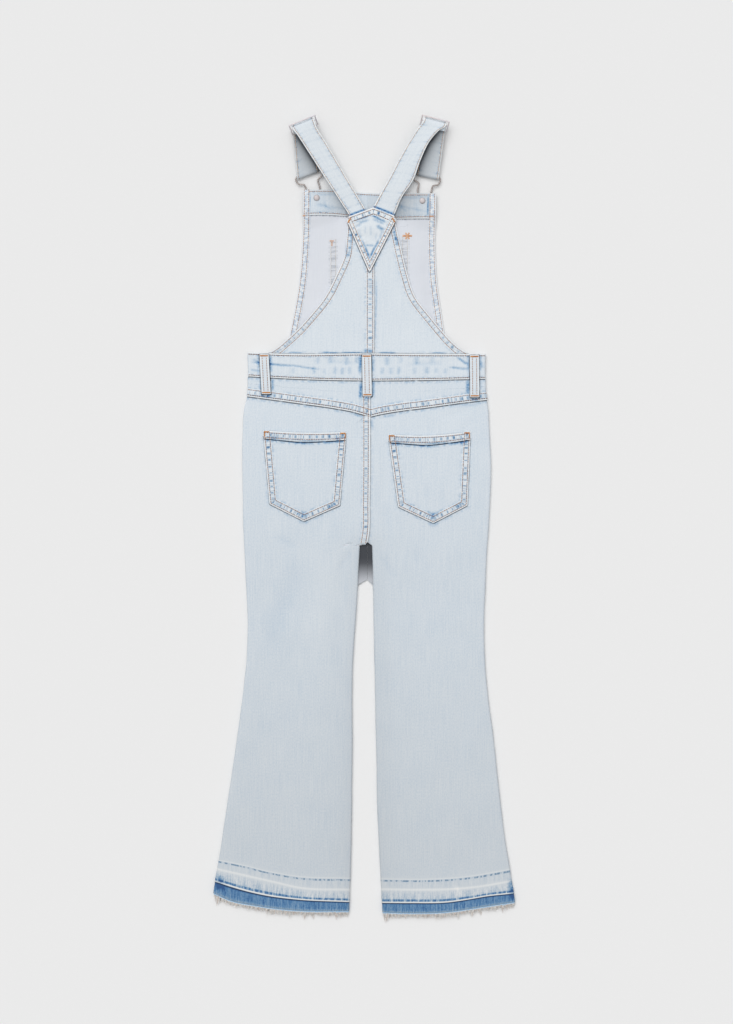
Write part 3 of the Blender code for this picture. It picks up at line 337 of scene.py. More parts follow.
def edge_profile(u, fold, strip, radius, wall):
    """Distance in from a panel's edge, and height share, for u from 0 to STRIP_SHARE."""
    in_roll = u < ROLL_SHARE
    start = math.asin(SEAM_GAP / 2 / radius)
    angle = start + np.where(in_roll, u / ROLL_SHARE, 1.0) * (math.pi / 2 - start)
    flat_strip = wall / 2 + radius
    after = (u - ROLL_SHARE) / (STRIP_SHARE - ROLL_SHARE) * (strip - flat_strip)
    folded = np.where(in_roll, wall / 2 + radius * (1 - np.cos(angle)), flat_strip + after)
    cut = u / STRIP_SHARE * strip
    height = np.where(in_roll, np.sin(angle), 1.0)
    return cut + fold * (folded - cut), 1.0 + fold * (height - 1.0)


def between(share, start, end, first, last):
    """From start to end, with a strip of a set width at each end, 0 to 1 in share."""
    middle = np.clip((share - STRIP_SHARE) / (1 - 2 * STRIP_SHARE), 0.0, 1.0)
    inside = (start + first) * (1 - middle) + (end - last) * middle
    near_start = start + share / STRIP_SHARE * first
    near_end = end - (1 - share) / STRIP_SHARE * last
    return np.where(share < STRIP_SHARE, near_start,
                    np.where(share > 1 - STRIP_SHARE, near_end, inside))


def panel(left, right, low, high, height, folds=(0, 0), strips=(BODY_STRIP, BODY_STRIP),
          borders=(EDGE_BORDER, EDGE_BORDER), radius=FOLD_RADIUS, wall=DENIM, fold_z=FOLD_Z):
    """Middle surface of a panel between four edges, as a function of u across and v up.

    left and right give x at a y, low and high give y at an x. folds are 1 where an edge rolls
    round to the other side of the garment. strips and borders are the widths beside the edges
    that u and v give STRIP_SHARE to.
    """
    def fold_at(fold, y):
        return fold(y) if callable(fold) else fold

    def across(u, y):
        x0, x1 = left(y), right(y)
        narrow = NARROW * (x1 - x0)
        first, last = np.minimum(strips[0], narrow), np.minimum(strips[1], narrow)
        in_left, in_right = u < STRIP_SHARE, u > 1 - STRIP_SHARE
        from_left, rise_left = edge_profile(np.where(in_left, u, STRIP_SHARE),
                                            fold_at(folds[0], y), first, radius, wall)
        from_right, rise_right = edge_profile(np.where(in_right, 1 - u, STRIP_SHARE),
                                              fold_at(folds[1], y), last, radius, wall)
        x = np.where(in_left, x0 + from_left, x1 - from_right)
        middle = between(u, x0, x1, first, last)
        return np.where(in_left | in_right, x, middle), rise_left * rise_right

    def up(v, x):
        y0, y1 = low(x), high(x)
        narrow = NARROW * (y1 - y0)
        return between(v, y0, y1, np.minimum(borders[0], narrow), np.minimum(borders[1], narrow))

    def surface(u, v):
        x, _ = across(u, up(v, 0.0 * u))
        for _ in range(4):
            y = up(v, x)
            x, rise = across(u, y)
        z = fold_z + (height(x, y) - fold_z) * rise
        return np.stack([x, y, z], axis=-1)

    return surface


def sample(surface, u, v):
    """Points and unit normals of a surface at arrays of u and v."""
    step = 1e-4
    along_u = surface(u + step, v) - surface(u - step, v)
    along_v = surface(u, v + step) - surface(u, v - step)
    normal = np.cross(along_u, along_v)
    return surface(u, v), normal / np.linalg.norm(normal, axis=-1, keepdims=True)


# stops across an edge strip, as shares of it: round a rolled side, and in from a cut edge
ROLLED = np.concatenate([np.linspace(0.0, 0.5, 8), np.linspace(0.5, 1.0, 5)[1:]])
CUT_STOPS = np.array([0.0, 0.4, 1.0, 1.8, 2.6, 3.6, 4.8, 6.2, 7.6, 9.0, 10.6, 12.2])


def cut(strip):
    """Stops in from a cut edge, over a strip of a width."""
    stops = CUT_STOPS / strip
    return np.append(stops[stops < 0.96], 1.0)


def lines(first, count, last):
    """u or v of a shell's grid: the stops of its first strip, count steps, the last strip's."""
    middle = np.linspace(STRIP_SHARE, 1 - STRIP_SHARE, count + 1)[1:-1]
    return np.concatenate([first * STRIP_SHARE, middle, 1 - last[::-1] * STRIP_SHARE])


# ------------------------ seams in plan
WAY_STEP = 0.5              # half the length over which a seam's direction is taken


class Seam:
    """A stitched edge in plan. The raised cloth, and its rows of stitches, lie to its left."""

    def __init__(self, points):
        self.points = np.array(points, dtype=float)
        self.lengths = lengths_along(self.points)
        steps = np.diff(self.points, axis=0)
        ways = steps / np.hypot(*steps.T)[:, None]
        normals = np.stack([-ways[:, 1], ways[:, 0]], axis=1)
        before = np.concatenate([normals[:1], normals])
        after = np.concatenate([normals, normals[-1:]])
        self.mitres = (before + after) / (1.0 + np.sum(before * after, axis=1))[:, None]

    def moved(self, inset):
        return Seam(self.points + self.mitres * inset)

    def at(self, places):
        """Points and directions at lengths along the seam."""
        point, ahead, behind = [read_at(places + step, self.lengths, self.points)
                                for step in (0.0, WAY_STEP, -WAY_STEP)]
        way = ahead - behind
        return point, way / np.hypot(*way.T)[:, None]

    def reach(self, x, y):
        """Length along the seam of the nearest place on it, distance out to its left, and how
        much its left side faces the straps' end of the garment."""
        flat = np.stack([x.ravel(), y.ravel()], axis=1)
        best = np.full(len(flat), np.inf)
        along, side, upward = np.zeros(len(flat)), np.ones(len(flat)), np.zeros(len(flat))
        for i in range(len(self.points) - 1):
            start, step = self.points[i], self.points[i + 1] - self.points[i]
            share = np.clip((flat - start) @ step / (step @ step), 0.0, 1.0)
            off = flat - start - share[:, None] * step
            distance = np.hypot(*off.T)
            nearer = distance < best
            mitre = self.mitres[i] + share[:, None] * (self.mitres[i + 1] - self.mitres[i])
            here = self.lengths[i] + share * (self.lengths[i + 1] - self.lengths[i])
            best = np.where(nearer, distance, best)
            along = np.where(nearer, here, along)
            side = np.where(nearer, np.where(np.sum(off * mitre, axis=1) < 0, -1.0, 1.0), side)
            upward = np.where(nearer, step[0] / np.hypot(*step), upward)
        return [values.reshape(x.shape) for values in (along, best * side, upward)]


def across_line(line, start, end, count=90):
    """Points of a line that gives y at an x."""
    x = np.linspace(start, end, count)
    return np.stack([x, line(x)], axis=1)


def upright_line(line, start, end, count=48):
    """Points of a line that gives x at a y."""
    y = np.linspace(start, end, count)
    return np.stack([line(y), y], axis=1)


def pocket_plan(side):
    """Plan of a back pocket, as a function of u across and v up."""
    corner = {key: np.array(place) for key, place in POCKETS[side].items()}

    def plan(u, v):
        half = u < 0.5
        share = np.where(half, u * 2, u * 2 - 1)[..., None]
        half = half[..., None]
        low = np.where(half, corner["low_left"] + share * (corner["point"] - corner["low_left"]),
                       corner["point"] + share * (corner["low_right"] - corner["point"]))
        top = corner["top_left"] + u[..., None] * (corner["top_right"] - corner["top_left"])
        sag = corner["top_middle"] - (corner["top_left"] + corner["top_right"]) / 2
        top = top + sag * np.sin(math.pi * u)[..., None]
        return low + v[..., None] * (top - low)

    return plan


POCKET_HEM_SHARE = 0.895    # v of the lower edge of a pocket's turned top
FACING_DEPTH = 35.0
BIB_HEM = 9.6
seams = {
    "yoke": Seam(across_line(yoke_seam, -171.0, 169.0)),
    "seat": Seam(upright_line(seat_seam, 0.0, 229.0)),
    "band_low": Seam(across_line(band_low, -166.0, 165.0)),
    "band_top": Seam(across_line(band_top, 165.0, -166.0)),
    "armhole_left": Seam(upright_line(armhole_left, 456.0, 266.0)),
    "armhole_right": Seam(upright_line(armhole_right, 266.0, 456.0)),
    "centre_back": Seam([(BACK_SEAM_X, 264.0), (BACK_SEAM_X, 392.0)]),
    "patch_sides": Seam([(-28.2, 452.5), (-12.8, 417.0), (3.5, 380.0), (22.5, 417.0), (40.4, 452.5)]),
    "patch_top": Seam(PATCH_TOP[::-1]),
    "bib_left": Seam(upright_line(bib_left, 496.0, 262.0)),
    "bib_right": Seam(upright_line(bib_right, 262.0, 490.0)),
    "bib_top": Seam(across_line(bib_top, 96.5, -89.5)),
    "facing_low": Seam(across_line(shifted(bib_top, -FACING_DEPTH), -89.5, 96.0)),
    "bib_pocket": Seam([(BIB_POCKET["left"], BIB_POCKET["high"]), *BIB_POCKET_FOOT,
                        (BIB_POCKET["right"], BIB_POCKET["high"] + 4.0)]),
}
for side, corner in POCKETS.items():
    edge = np.linspace(0.0, 1.0, 24)
    plan = pocket_plan(side)
    seams["pocket_" + side] = Seam([corner[key] for key in (
        "top_left", "low_left", "point", "low_right", "top_right")])
    seams["pocket_top_" + side] = Seam(plan(edge, np.ones_like(edge))[::-1])
    seams["pocket_hem_" + side] = Seam(plan(edge, np.full_like(edge, POCKET_HEM_SHARE)))
for side, (top_x, top_y, low_x, low_y) in LOOPS.items():
    half = LOOP_WIDTH / 2
    seams["loop_" + side] = Seam([(top_x - half, top_y), (low_x - half, low_y), (low_x + half, low_y),
                                  (top_x + half, top_y), (top_x - half, top_y)])

# inset of each seam's rows of stitches from its folded edge
ROWS = {
    "yoke": (2.3, 9.6), "seat": (2.8, 9.0), "band_low": (2.1,), "band_top": (2.4,),
    "centre_back": (1.9, 9.6), "patch_sides": (1.8, 6.0), "patch_top": (2.2, 8.4),
    "bib_top": (2.4,), "facing_low": (2.2,), "bib_pocket": (1.6, 8.2), "strap": (2.2,),
}
for side in LEFT_RIGHT:
    ROWS.update({"pocket_" + side: (1.6, 8.2), "pocket_hem_" + side: (2.4,),
                 "pocket_top_" + side: (2.4, 9.2), "armhole_" + side: (2.0, 8.4),
                 "bib_" + side: (1.8, 8.0)})
ROWS.update({"loop_" + side: (3.3,) for side in LOOPS})
# where the denim's seam pattern has its rows, and what a seam with one row goes on with
FIRST_ROW, LAST_ROW, BAND_END = 2.8, 9.0, 11.0
PAST_SINGLE_ROW = 1.2


def seam_place(name, across):
    """Distance across a seam, on the scale of the denim's seam pattern."""
    rows = ROWS[name]
    if len(rows) == 2:
        inner = FIRST_ROW + (across - rows[0]) * (LAST_ROW - FIRST_ROW) / (rows[1] - rows[0])
    else:
        beyond = across - rows[0] - PAST_SINGLE_ROW
        inner = np.where(beyond < 0, FIRST_ROW + across - rows[0], BAND_END + beyond)
    return np.where(across < 0, across, np.where(across < rows[0], across * FIRST_ROW / rows[0], inner))


# creases laid: start, end, half width, height (- is a trough), dye kept in them, which on some broad folds of
# the legs is painted shade
CREASES = {
    "band": (
        (-166, 254, -100, 249, 1.4, -0.45, 0.42), (-118, 250.5, -60, 244, 1.3, -0.3, 0.3),
        (-165, 244, -146, 241, 1.5, -0.3, 0.22), (-161, 259, -149, 252, 1.6, -0.3, 0.24),
        (124, 262, 144, 249, 1.4, -0.5, 0.5), (112, 247, 144, 244.5, 1.4, -0.35, 0.36),
        (-68, 263.5, -69.5, 250, 2.9, -0.2, 0.13), (-52, 263.5, -50, 251, 3.5, -0.2, 0.17),
        (-29, 263, -28, 249, 3.1, -0.2, 0.17), (-14, 263, -15, 251, 2.5, -0.2, 0.2),
        (-75, 249, -73, 236.5, 2.5, -0.2, 0.19), (-60, 247, -59, 236, 2.1, -0.2, 0.1),
        (-44, 249, -45, 235.5, 2.9, -0.2, 0.17), (-34, 248, -35, 235.5, 2.3, -0.2, 0.22),
        (-25, 249, -24, 235.5, 2.1, -0.2, 0.19), (-104, 247, -103, 237, 3.3, -0.2, 0.1),
        (27, 263, 29, 248, 3.5, -0.2, 0.17), (48, 262, 47, 251, 2.5, -0.2, 0.1),
        (68, 263, 70, 249, 3.3, -0.2, 0.19), (90, 262, 92, 251, 3.1, -0.2, 0.1),
        (22, 248, 21, 235.5, 2.3, -0.2, 0.19), (33, 248, 34, 235.5, 2.5, -0.2, 0.16),
        (45, 249, 44, 235.5, 2.3, -0.2, 0.19), (66, 248, 67, 236, 2.7, -0.2, 0.13),
        (83, 249, 84, 236, 3.1, -0.2, 0.19), (97, 248, 96, 237, 2.5, -0.2, 0.12),
        (110, 247, 109, 236, 2.5, -0.2, 0.13), (-58, 255, -10, 253, 2.9, -0.2, 0.06),
        (52, 250, 112, 254, 3.1, -0.2, 0.07), (157, 256, 164, 245, 1.8, -0.3, 0.22),
        (-135.6, 266, -134.2, 238, 1.7, -0.3, 0.55), (-152, 264, -150.4, 240, 1.4, -0.2, 0.25),
        (-9.2, 268, -9.6, 236, 1.9, -0.3, 0.6), (8.2, 266, 8.4, 236, 1.6, -0.3, 0.4),
        (141.6, 264, 141.6, 238, 1.5, -0.3, 0.35), (158.4, 264, 158.6, 240, 1.4, -0.2, 0.3),
    ),
    "back": (
        (-8.6, 229, -9.2, 200, 1.9, -0.25, 0.6), (8.6, 229, 9, 203, 1.6, -0.25, 0.4),
        (-132.6, 232, -131, 212, 1.6, -0.2, 0.35), (-149, 232, -148, 212, 1.5, -0.2, 0.25),
        (-6, 203.2, 7, 203.2, 1.8, -0.2, 0.45), (-147, 205.8, -133, 205.8, 1.6, -0.2, 0.4),
        (143.5, 201.4, 157.5, 201.4, 1.6, -0.2, 0.4), (-26, 184.5, 0, 176, 1.6, -0.3, 0.24),
        (100, 196, 164, 194.5, 3, -0.3, 0.09), (-96, 33, -81, 33.5, 4, 0.2, 0.22),
        (84, 30, 101, 31, 4, 0.2, 0.26), (5, 175, 8, 160, 2, -0.3, 0.25),
        (20, 177, 42, 181, 2, -0.2, 0.16),
        (-130, 12, -96, -6, 5, -0.35, 0.03), (-60, 100, -38, 20, 6, -0.3, 0),
        # two broad folds with painted shade: the trough darker, the ridge beside it paler
        (-92, 0, -144, -170, 15, -0.4, 0.035), (-54, 0, -68, -170, 18, 0.3, -0.02),
        (26, 60, 34, -10, 5, -0.35, 0.02), (60, -10, 96, -40, 7, -0.3, 0.02),
        (-40, -40, -22, -6, 4, -0.35, 0.03), (14, -8, 44, -52, 4, -0.35, 0.03),
        (-150, -190, -120, -330, 9, -0.3, 0), (140, -210, 118, -360, 9, -0.3, 0),
        (-207, -486, -204, -461, 6, 0, 0.45), (204.5, -498, 203, -464, 5.5, 0, 0.6),
        (122.5, -475, 133, -495, 2.3, 0.3, -0.13), (140.6, 231, 141.2, 208, 2.2, -0.2, 0.5),
    ),
    "pocket": (
        (-88, 46, -91, 36, 2.4, -0.3, 0.44), (-82, 46, -85, 37, 2, -0.3, 0.32),
        (-98, 48, -94, 39, 2, -0.2, 0.24), (93, 45, 91, 34, 2.4, -0.4, 0.48),
        (99, 46, 97, 37, 2, -0.3, 0.4), (86, 47, 88, 38, 2, -0.3, 0.32),
        (-146, 146.6, -72, 140.2, 1.3, -0.25, 0.5), (-106, 141.4, -28, 144.6, 1.3, -0.25, 0.55),
        (28, 141.6, 100, 136.4, 1.3, -0.25, 0.5), (72, 137.4, 147, 144.6, 1.3, -0.25, 0.55),
        (-45, 147.5, -33, 143.5, 3, -0.1, 0.45), (-143, 149.4, -122, 147, 2, -0.1, 0.35),
        (33, 143, 47, 140, 2.6, -0.1, 0.4), (128, 141, 142, 144, 2.8, -0.1, 0.4),
        (-132, 60, -116, 51, 2.6, -0.3, 0.2), (-58, 48, -42, 58, 2.6, -0.3, 0.22),
        (52, 57, 66, 50, 2.6, -0.3, 0.2), (120, 49, 134, 58, 2.6, -0.3, 0.2),
    ),
    "upper": (
        (-28.4, 449, -31, 420, 0.9, -0.3, 0.4), (-31, 428, -27.5, 396, 1, -0.3, 0.36),
        (-34, 402, -58, 352, 4.5, 0, -0.14), (-6, 270, 10, 269.5, 2.8, -0.2, 0.42),
        (-20.4, 448, -22, 420, 1, -0.3, 0.5), (-21.6, 426, -26.5, 397, 1, -0.3, 0.3),
        (36, 446, 42, 420, 1.2, -0.2, 0.36), (44, 442, 49, 412, 1.2, -0.2, 0.36),
        (40, 430, 44, 416, 2.6, 0, 0.4), (8, 372, 9, 345, 3, -0.1, 0.1),
        (12.5, 378, 12.5, 270, 1.1, -0.2, 0.2), (-66, 267.6, -36, 267.5, 0.8, -0.2, 0.6),
        (-40, 267.4, -2, 267.6, 0.8, -0.2, 0.65), (14, 267.4, 44, 267.2, 0.8, -0.2, 0.6),
        (-112, 267.6, -88, 267.6, 0.7, -0.2, 0.45), (88, 267.2, 112, 267.2, 0.7, -0.2, 0.45),
    ),
    "patch": (
        (-18, 451, 6, 459.5, 1.1, -0.45, 0.62), (3, 460.5, 29, 448.5, 1.1, -0.45, 0.66),
        (-13, 447.5, 4, 453.5, 1.8, -0.3, 0.3), (6, 454.5, 26, 446.5, 1.8, -0.3, 0.3),
        (12, 445.5, 25, 437.5, 2.1, -0.3, 0.5), (-16, 443.5, -7, 446.5, 1.9, -0.3, 0.2),
        (-26, 458.5, 8, 471, 1, -0.3, 0.55), (6, 471, 38, 459, 1, -0.3, 0.55),
        (-8.5, 428, 5, 396, 1.4, -0.35, 0.44), (3, 396, 18, 430, 1.4, -0.35, 0.44),
        (-2.5, 417, 4, 400, 1.1, -0.25, 0.24), (4, 400, 10.5, 417, 1.1, -0.25, 0.24),
        (-3, 417.5, 11, 417, 1.3, -0.2, 0.38), (-11, 441, -8, 424, 1.7, -0.2, 0.12),
        (-2, 446, -3, 432, 1.6, -0.2, 0.1), (4.5, 446, 6, 428, 1.6, -0.2, 0.14),
        (13, 436, 12, 424, 1.6, -0.2, 0.14), (21, 438, 18, 426, 1.7, -0.2, 0.2),
    ),
    "facing": (
        (-80, 474, -20, 468, 1.8, -0.2, 0.1), (30, 474, 90, 464, 1.8, -0.2, 0.1),
        (-76, 488, -30, 488, 1.5, -0.2, 0.1), (34, 484, 88, 483, 1.5, -0.2, 0.11),
        (-80.5, 494, -81, 459, 1.1, -0.3, 0.6), (85.5, 490, 85, 456, 1.1, -0.3, 0.6),
        (-62, 482, -52, 460, 2, -0.2, 0.08), (52, 482, 44, 460, 2, -0.2, 0.1),
        (66, 480, 72, 460, 2, -0.2, 0.08), (-74, 478, -40, 464, 1.6, -0.2, 0.08),
        (38, 478, 60, 462, 1.8, -0.2, 0.11), (-40, 486, -24, 472, 2, -0.2, 0.08),
    ),
}


# a crease wanders sideways, fades at its ends, and has a faint lip beside it
CREASE_WANDER, CREASE_FADE = 0.008, 0.3
CREASE_LIP, CREASE_LIP_AT = 0.4, 1.8


def lay(group, x, y):
    """Height of a group's creases at some points, and the dye kept in them, which on some broad folds is
    painted shade.
    """
    height, kept = np.zeros_like(x), np.zeros_like(x)
    for *line, half, rise, dye in CREASES.get(group, ()):
        share, across, length = beside_line(x, y, *line)
        across = across - CREASE_WANDER * length * np.sin(2 * math.pi * share)
        fade = ease(share / CREASE_FADE) * ease((1.0 - share) / CREASE_FADE)
        lip = CREASE_LIP * bump(across - CREASE_LIP_AT * half, half)
        height = height + rise * fade * (bump(across, half) - lip)
        kept = kept + dye * fade * bump(across, half)
    return height, kept


PUCKER_WAVES = (5.3, 7.1, 9.7, 15.0)
PUCKER_HEIGHT = 0.16
PUCKER_SLANT = 0.3


def puckers(name, along, across):
    """Uneven gathers along a seam, slanting as its two layers of cloth drag on each other."""
    rng = np.random.default_rng(sum(name.encode()))
    height = 0.0 * along
    for wave in PUCKER_WAVES:
        phase, slant = rng.uniform(0, 2 * math.pi), rng.uniform(-1, 1) * PUCKER_SLANT
        height = height + np.sin(2 * math.pi * (along + across * slant) / wave + phase)
    return height * PUCKER_HEIGHT


def pucker_window(across):
    """Strong on the raised band, fading out over the cloth on both sides of it."""
    return np.where(across < 0, 0.8 * np.exp(across / 5.0),
                    np.where(across < LAST_ROW, 1.0, np.exp(-(across - LAST_ROW) / 6.0)))


# ------------------------ materials
def srgb(code):
    """Linear colour from a six digit hex code."""
    channels = [int(code[i:i + 2], 16) / 255 for i in (0, 2, 4)]
    linear = [c / 12.92 if c <= 0.04045 else ((c + 0.055) / 1.055) ** 2.4 for c in channels]
    return (*linear, 1.0)


def add(tree, kind, inputs=(), out=0, stops=(), **settings):
    """One of the outputs of a new node, made with its settings, links and stops.

    inputs are values and outputs of other nodes, in the order of its sockets or by socket.
    """
    node = tree.nodes.new("ShaderNode" + kind)
    for name, value in settings.items():
        setattr(node, name, value)
    for socket, value in inputs.items() if isinstance(inputs, dict) else enumerate(inputs):
        if isinstance(value, bpy.types.NodeSocket):
            tree.links.new(value, node.inputs[socket])
        else:
            node.inputs[socket].default_value = value
    if stops:
        ramp = kind == "ValToRGB"
        points = node.color_ramp.elements if ramp else node.mapping.curves[0].points
        while len(points) < len(stops):
            points.new(*(0.5,) * (1 if ramp else 2))
        for point, (place, value) in zip(points, stops):
            if ramp:
                point.position, point.color = place, srgb(value)
            else:
                point.location, point.handle_type = (place, value), "AUTO_CLAMPED"
        if not ramp:
            node.mapping.update()
    return node.outputs[out]


def new_material(name):
    """A material, its shader, and what adds nodes and links to it."""
    finish = bpy.data.materials.new(name)
    finish.use_nodes = True
    tree = finish.node_tree
    return finish, tree.nodes["Principled BSDF"], partial(add, tree), tree.links.new


def profile(node, measure, *stops):
    """How strong something is along a measure, from stops that go from end to end of it."""
    low, high = stops[0][0], stops[-1][0]
    share = node("MapRange", {0: measure, "From Min": low, "From Max": high})
    return node("FloatCurve", {1: share}, stops=[((place - low) / (high - low), strength)
                                                 for place, strength in stops])


def broken(node, share, vector, length, depth, low, high):
    """A share broken into uneven patches of a length along and a depth across."""
    stretched = node("VectorMath", (vector, (1 / length, 1 / depth, 0.0)), operation="MULTIPLY")
    pattern = node("TexNoise", {0: stretched, "Scale": 1.0, "Detail": 2.0})
    patch = node("MapRange", {0: pattern, "From Min": low, "From Max": high})
    return node("Math", (share, patch), operation="MULTIPLY")


def total(node, start, *parts):
    """A start, and parts that are each added at their own strength."""
    for part, strength in parts:
        start = node("Math", (part, strength, start), operation="MULTIPLY_ADD")
    return start


TWILL = 0.8                 # one wale of a 10 to 12 ounce right hand twill
WAVE_UNIT = 0.314           # period of a wave texture at scale 1
SLUB = (1.3, 45.0, 3.0)     # width and length of a slub streak, and its detail
FLECK = (1.6, 2.6, 2.0)     # the same of a rubbed fleck
CLOUD, MOTTLE = 45.0, 2.6   # reach of the wash's clouds, and of the spots that a crease keeps
INDIGO = (                  # share of the dye still in the yarn, and its colour after the wash
    (0.0, "FCFCFB"), (0.12, "ECF1F4"), (0.26, "DBE3EA"), (0.4, "BDCEDE"), (0.55, "9EB9D1"),
    (0.7, "7BA0C4"), (0.85, "5587B7"), (1.0, "315D95"),
)
FALLOFF_TOP_Y, FALLOFF_MID_Y, FALLOFF_FOOT_Y = 190, -50, -430       # painted shade: the seat and bib stay lightest, and the colour darkens down the legs as the light falls off
LIGHT_FALLOFF_TINTS = ((FALLOFF_TOP_Y, FALLOFF_MID_Y, "F6F6F6"), (2 * FALLOFF_MID_Y, FALLOFF_FOOT_Y, "F4F3F2"))
DEEP_BLUE = "1D2A3E"        # indigo that no rubbing reached, in a seam's hollow; also the painted shadow beside a folded edge
IN_SHADE = "23272F"
SEAM_FROM, SEAM_TO = -14, 26        # across a seam from its folded edge, outwards to inwards
GATHER_BEAT = 9.2           # from one gather of a stitched band to the next
BEAT_DRIFT = 9.0            # how far that beat wanders, in radians
DASH_HEIGHT = 16.0          # of a hem's dashes


def seam_dye(node, attribute):
    """Dye that a group of seams adds, and how deep its hollows are.

    A seam has an outline beside its folded edge, partly indigo kept in the fold and partly painted
    shadow, and a worn edge on it, dimples at its rows of stitches, rungs and knots of gathered cloth
    between them, and hollows along both sides.
    """
    seam = node("Attribute", attribute_name=attribute, out="Vector")
    along, out, weight = [node("SeparateXYZ", (seam,), out=axis) for axis in "XYZ"]

    def across(*stops):
        return profile(node, out, (SEAM_FROM, 0), *stops, (SEAM_TO, 0))

    def patchy(share, length, depth, low, high):
        return broken(node, share, seam, length, depth, low, high)

    # dark line just outside a folded edge: partly indigo kept in the fold, partly painted shadow
    outline = across((-2.6, 0), (-1.7, 0.2), (-1.1, 1), (-0.3, 1), (-0.1, 0))
    worn = across((-0.1, 0), (0.1, 0.9), (0.5, 1), (1.4, 0.7), (2, 0), (4.6, 0.3), (7.2, 0.3),
                  (9.6, 0.2), (10.2, 0.6), (11, 0))
    dimples = across((1.9, 0), (2.6, 1), (3.4, 0.8), (4.4, 0), (7.6, 0), (8.5, 0.8), (9.2, 1), (9.9, 0))
    hollow = across((-8, 0), (-4.4, 0.3), (-2.6, 0.6), (-1.2, 0.2), (0, 0), (10, 0), (10.8, 0.7),
                    (12.2, 0.3), (15, 0.05), (18, 0))
    between_rows = across((2.6, 0), (3.8, 1), (8.2, 1), (9.2, 0))
    middle = across((3.5, 0), (4.9, 1), (6.9, 1), (8.3, 0))

    rungs = patchy(patchy(between_rows, 2.8, 24.0, 0.47, 0.57), 17.0, 60.0, 0.34, 0.6)
    beat = total(node, patchy(BEAT_DRIFT, 11.0, 60.0, 0.0, 1.0), (along, 2 * math.pi / GATHER_BEAT))
    crest = node("Math", (beat,), operation="SINE")
    knots = node("MapRange", {0: crest, "From Min": 0.55, "From Max": 0.92})
    knots = patchy(node("Math", (middle, knots), operation="MULTIPLY"), 15.0, 60.0, 0.3, 0.5)
    blue = total(node, 0.0, (patchy(dimples, 1.9, 2.6, 0.44, 0.6), 0.34), (knots, 0.34), (rungs, 0.19),
                 (patchy(hollow, 4.2, 5.0, 0.4, 0.66), 0.3), (worn, -0.2))
    deep = total(node, 0.0, (patchy(outline, 8.0, 40.0, 0.3, 0.46), 0.8),
                 (patchy(dimples, 3.6, 40.0, 0.44, 0.58), 0.32), (knots, 0.09), (rungs, 0.13))
    return [node("Math", (part, weight), operation="MULTIPLY") for part in (blue, deep)]


def hem_dye(node, place, hem, fleck):
    """Dye of a let-down hem, depth of its fold's lines, and how far the hem reaches up.

    From the raw edge up: deep blue that the fold hid, the old fold worn white, a dashed blue
    line above it, a pale line, and the dotted holes of the unpicked stitches.
    """
    lengthwise = node("CombineXYZ", (node("SeparateXYZ", (place,)), hem))

    def dashes(share, length, low, high):
        return broken(node, share, lengthwise, length, DASH_HEIGHT, low, high)

    kept = profile(node, hem, (0, 0.53), (1.6, 0.67), (4, 0.81), (10.8, 0.82), (12.6, 1), (13.4, 0.5),
                   (14.1, 0.02), (15.1, 0.03), (15.9, 0.4), (17.8, 0.42), (19.4, 0.31), (24, 0.28),
                   (30, 0.25), (33, 0.1), (35, 0.25), (43, 0.29), (45.4, 0.33), (46.6, 0.26),
                   (47.6, 0.17), (49, 0.26), (60, 0.27))
    streaked = profile(node, hem, (0, 0.6), (5, 0.55), (11, 0.4), (13.6, 0.1), (15, 0.12), (16.5, 0.58),
                       (20, 0.52), (28, 0.36), (33, 0.12), (40, 0.2), (48, 0.1), (60, 0))
    above_fold = profile(node, hem, (0, 0), (14.9, 0), (15.7, 1), (17.6, 1), (19.4, 0.15), (27, 0.05),
                         (31, 0), (60, 0))
    holes = profile(node, hem, (0, 0), (43.4, 0), (44.3, 1), (45.6, 1), (46.4, 0), (60, 0))
    fold_line = profile(node, hem, (0, 0.25), (1.2, 0.1), (2.2, 0), (11.9, 0), (12.6, 0.85),
                        (13.3, 0.6), (13.9, 0), (60, 0))
    let_down = profile(node, hem, (0, 1), (47, 1), (55, 0), (60, 0))

    streaks = total(node, -0.8, (dashes(1.0, 2.2, 0.0, 1.0), 1.0), (fleck, 0.6))
    streaks = node("Math", (streaks, streaked), operation="MULTIPLY")
    holes = dashes(holes, 3.9, 0.45, 0.55)
    kept = total(node, kept, (streaks, 1.2), (dashes(above_fold, 4.6, 0.38, 0.54), 0.46), (holes, 0.3))
    return kept, total(node, fold_line, (holes, 0.22)), let_down


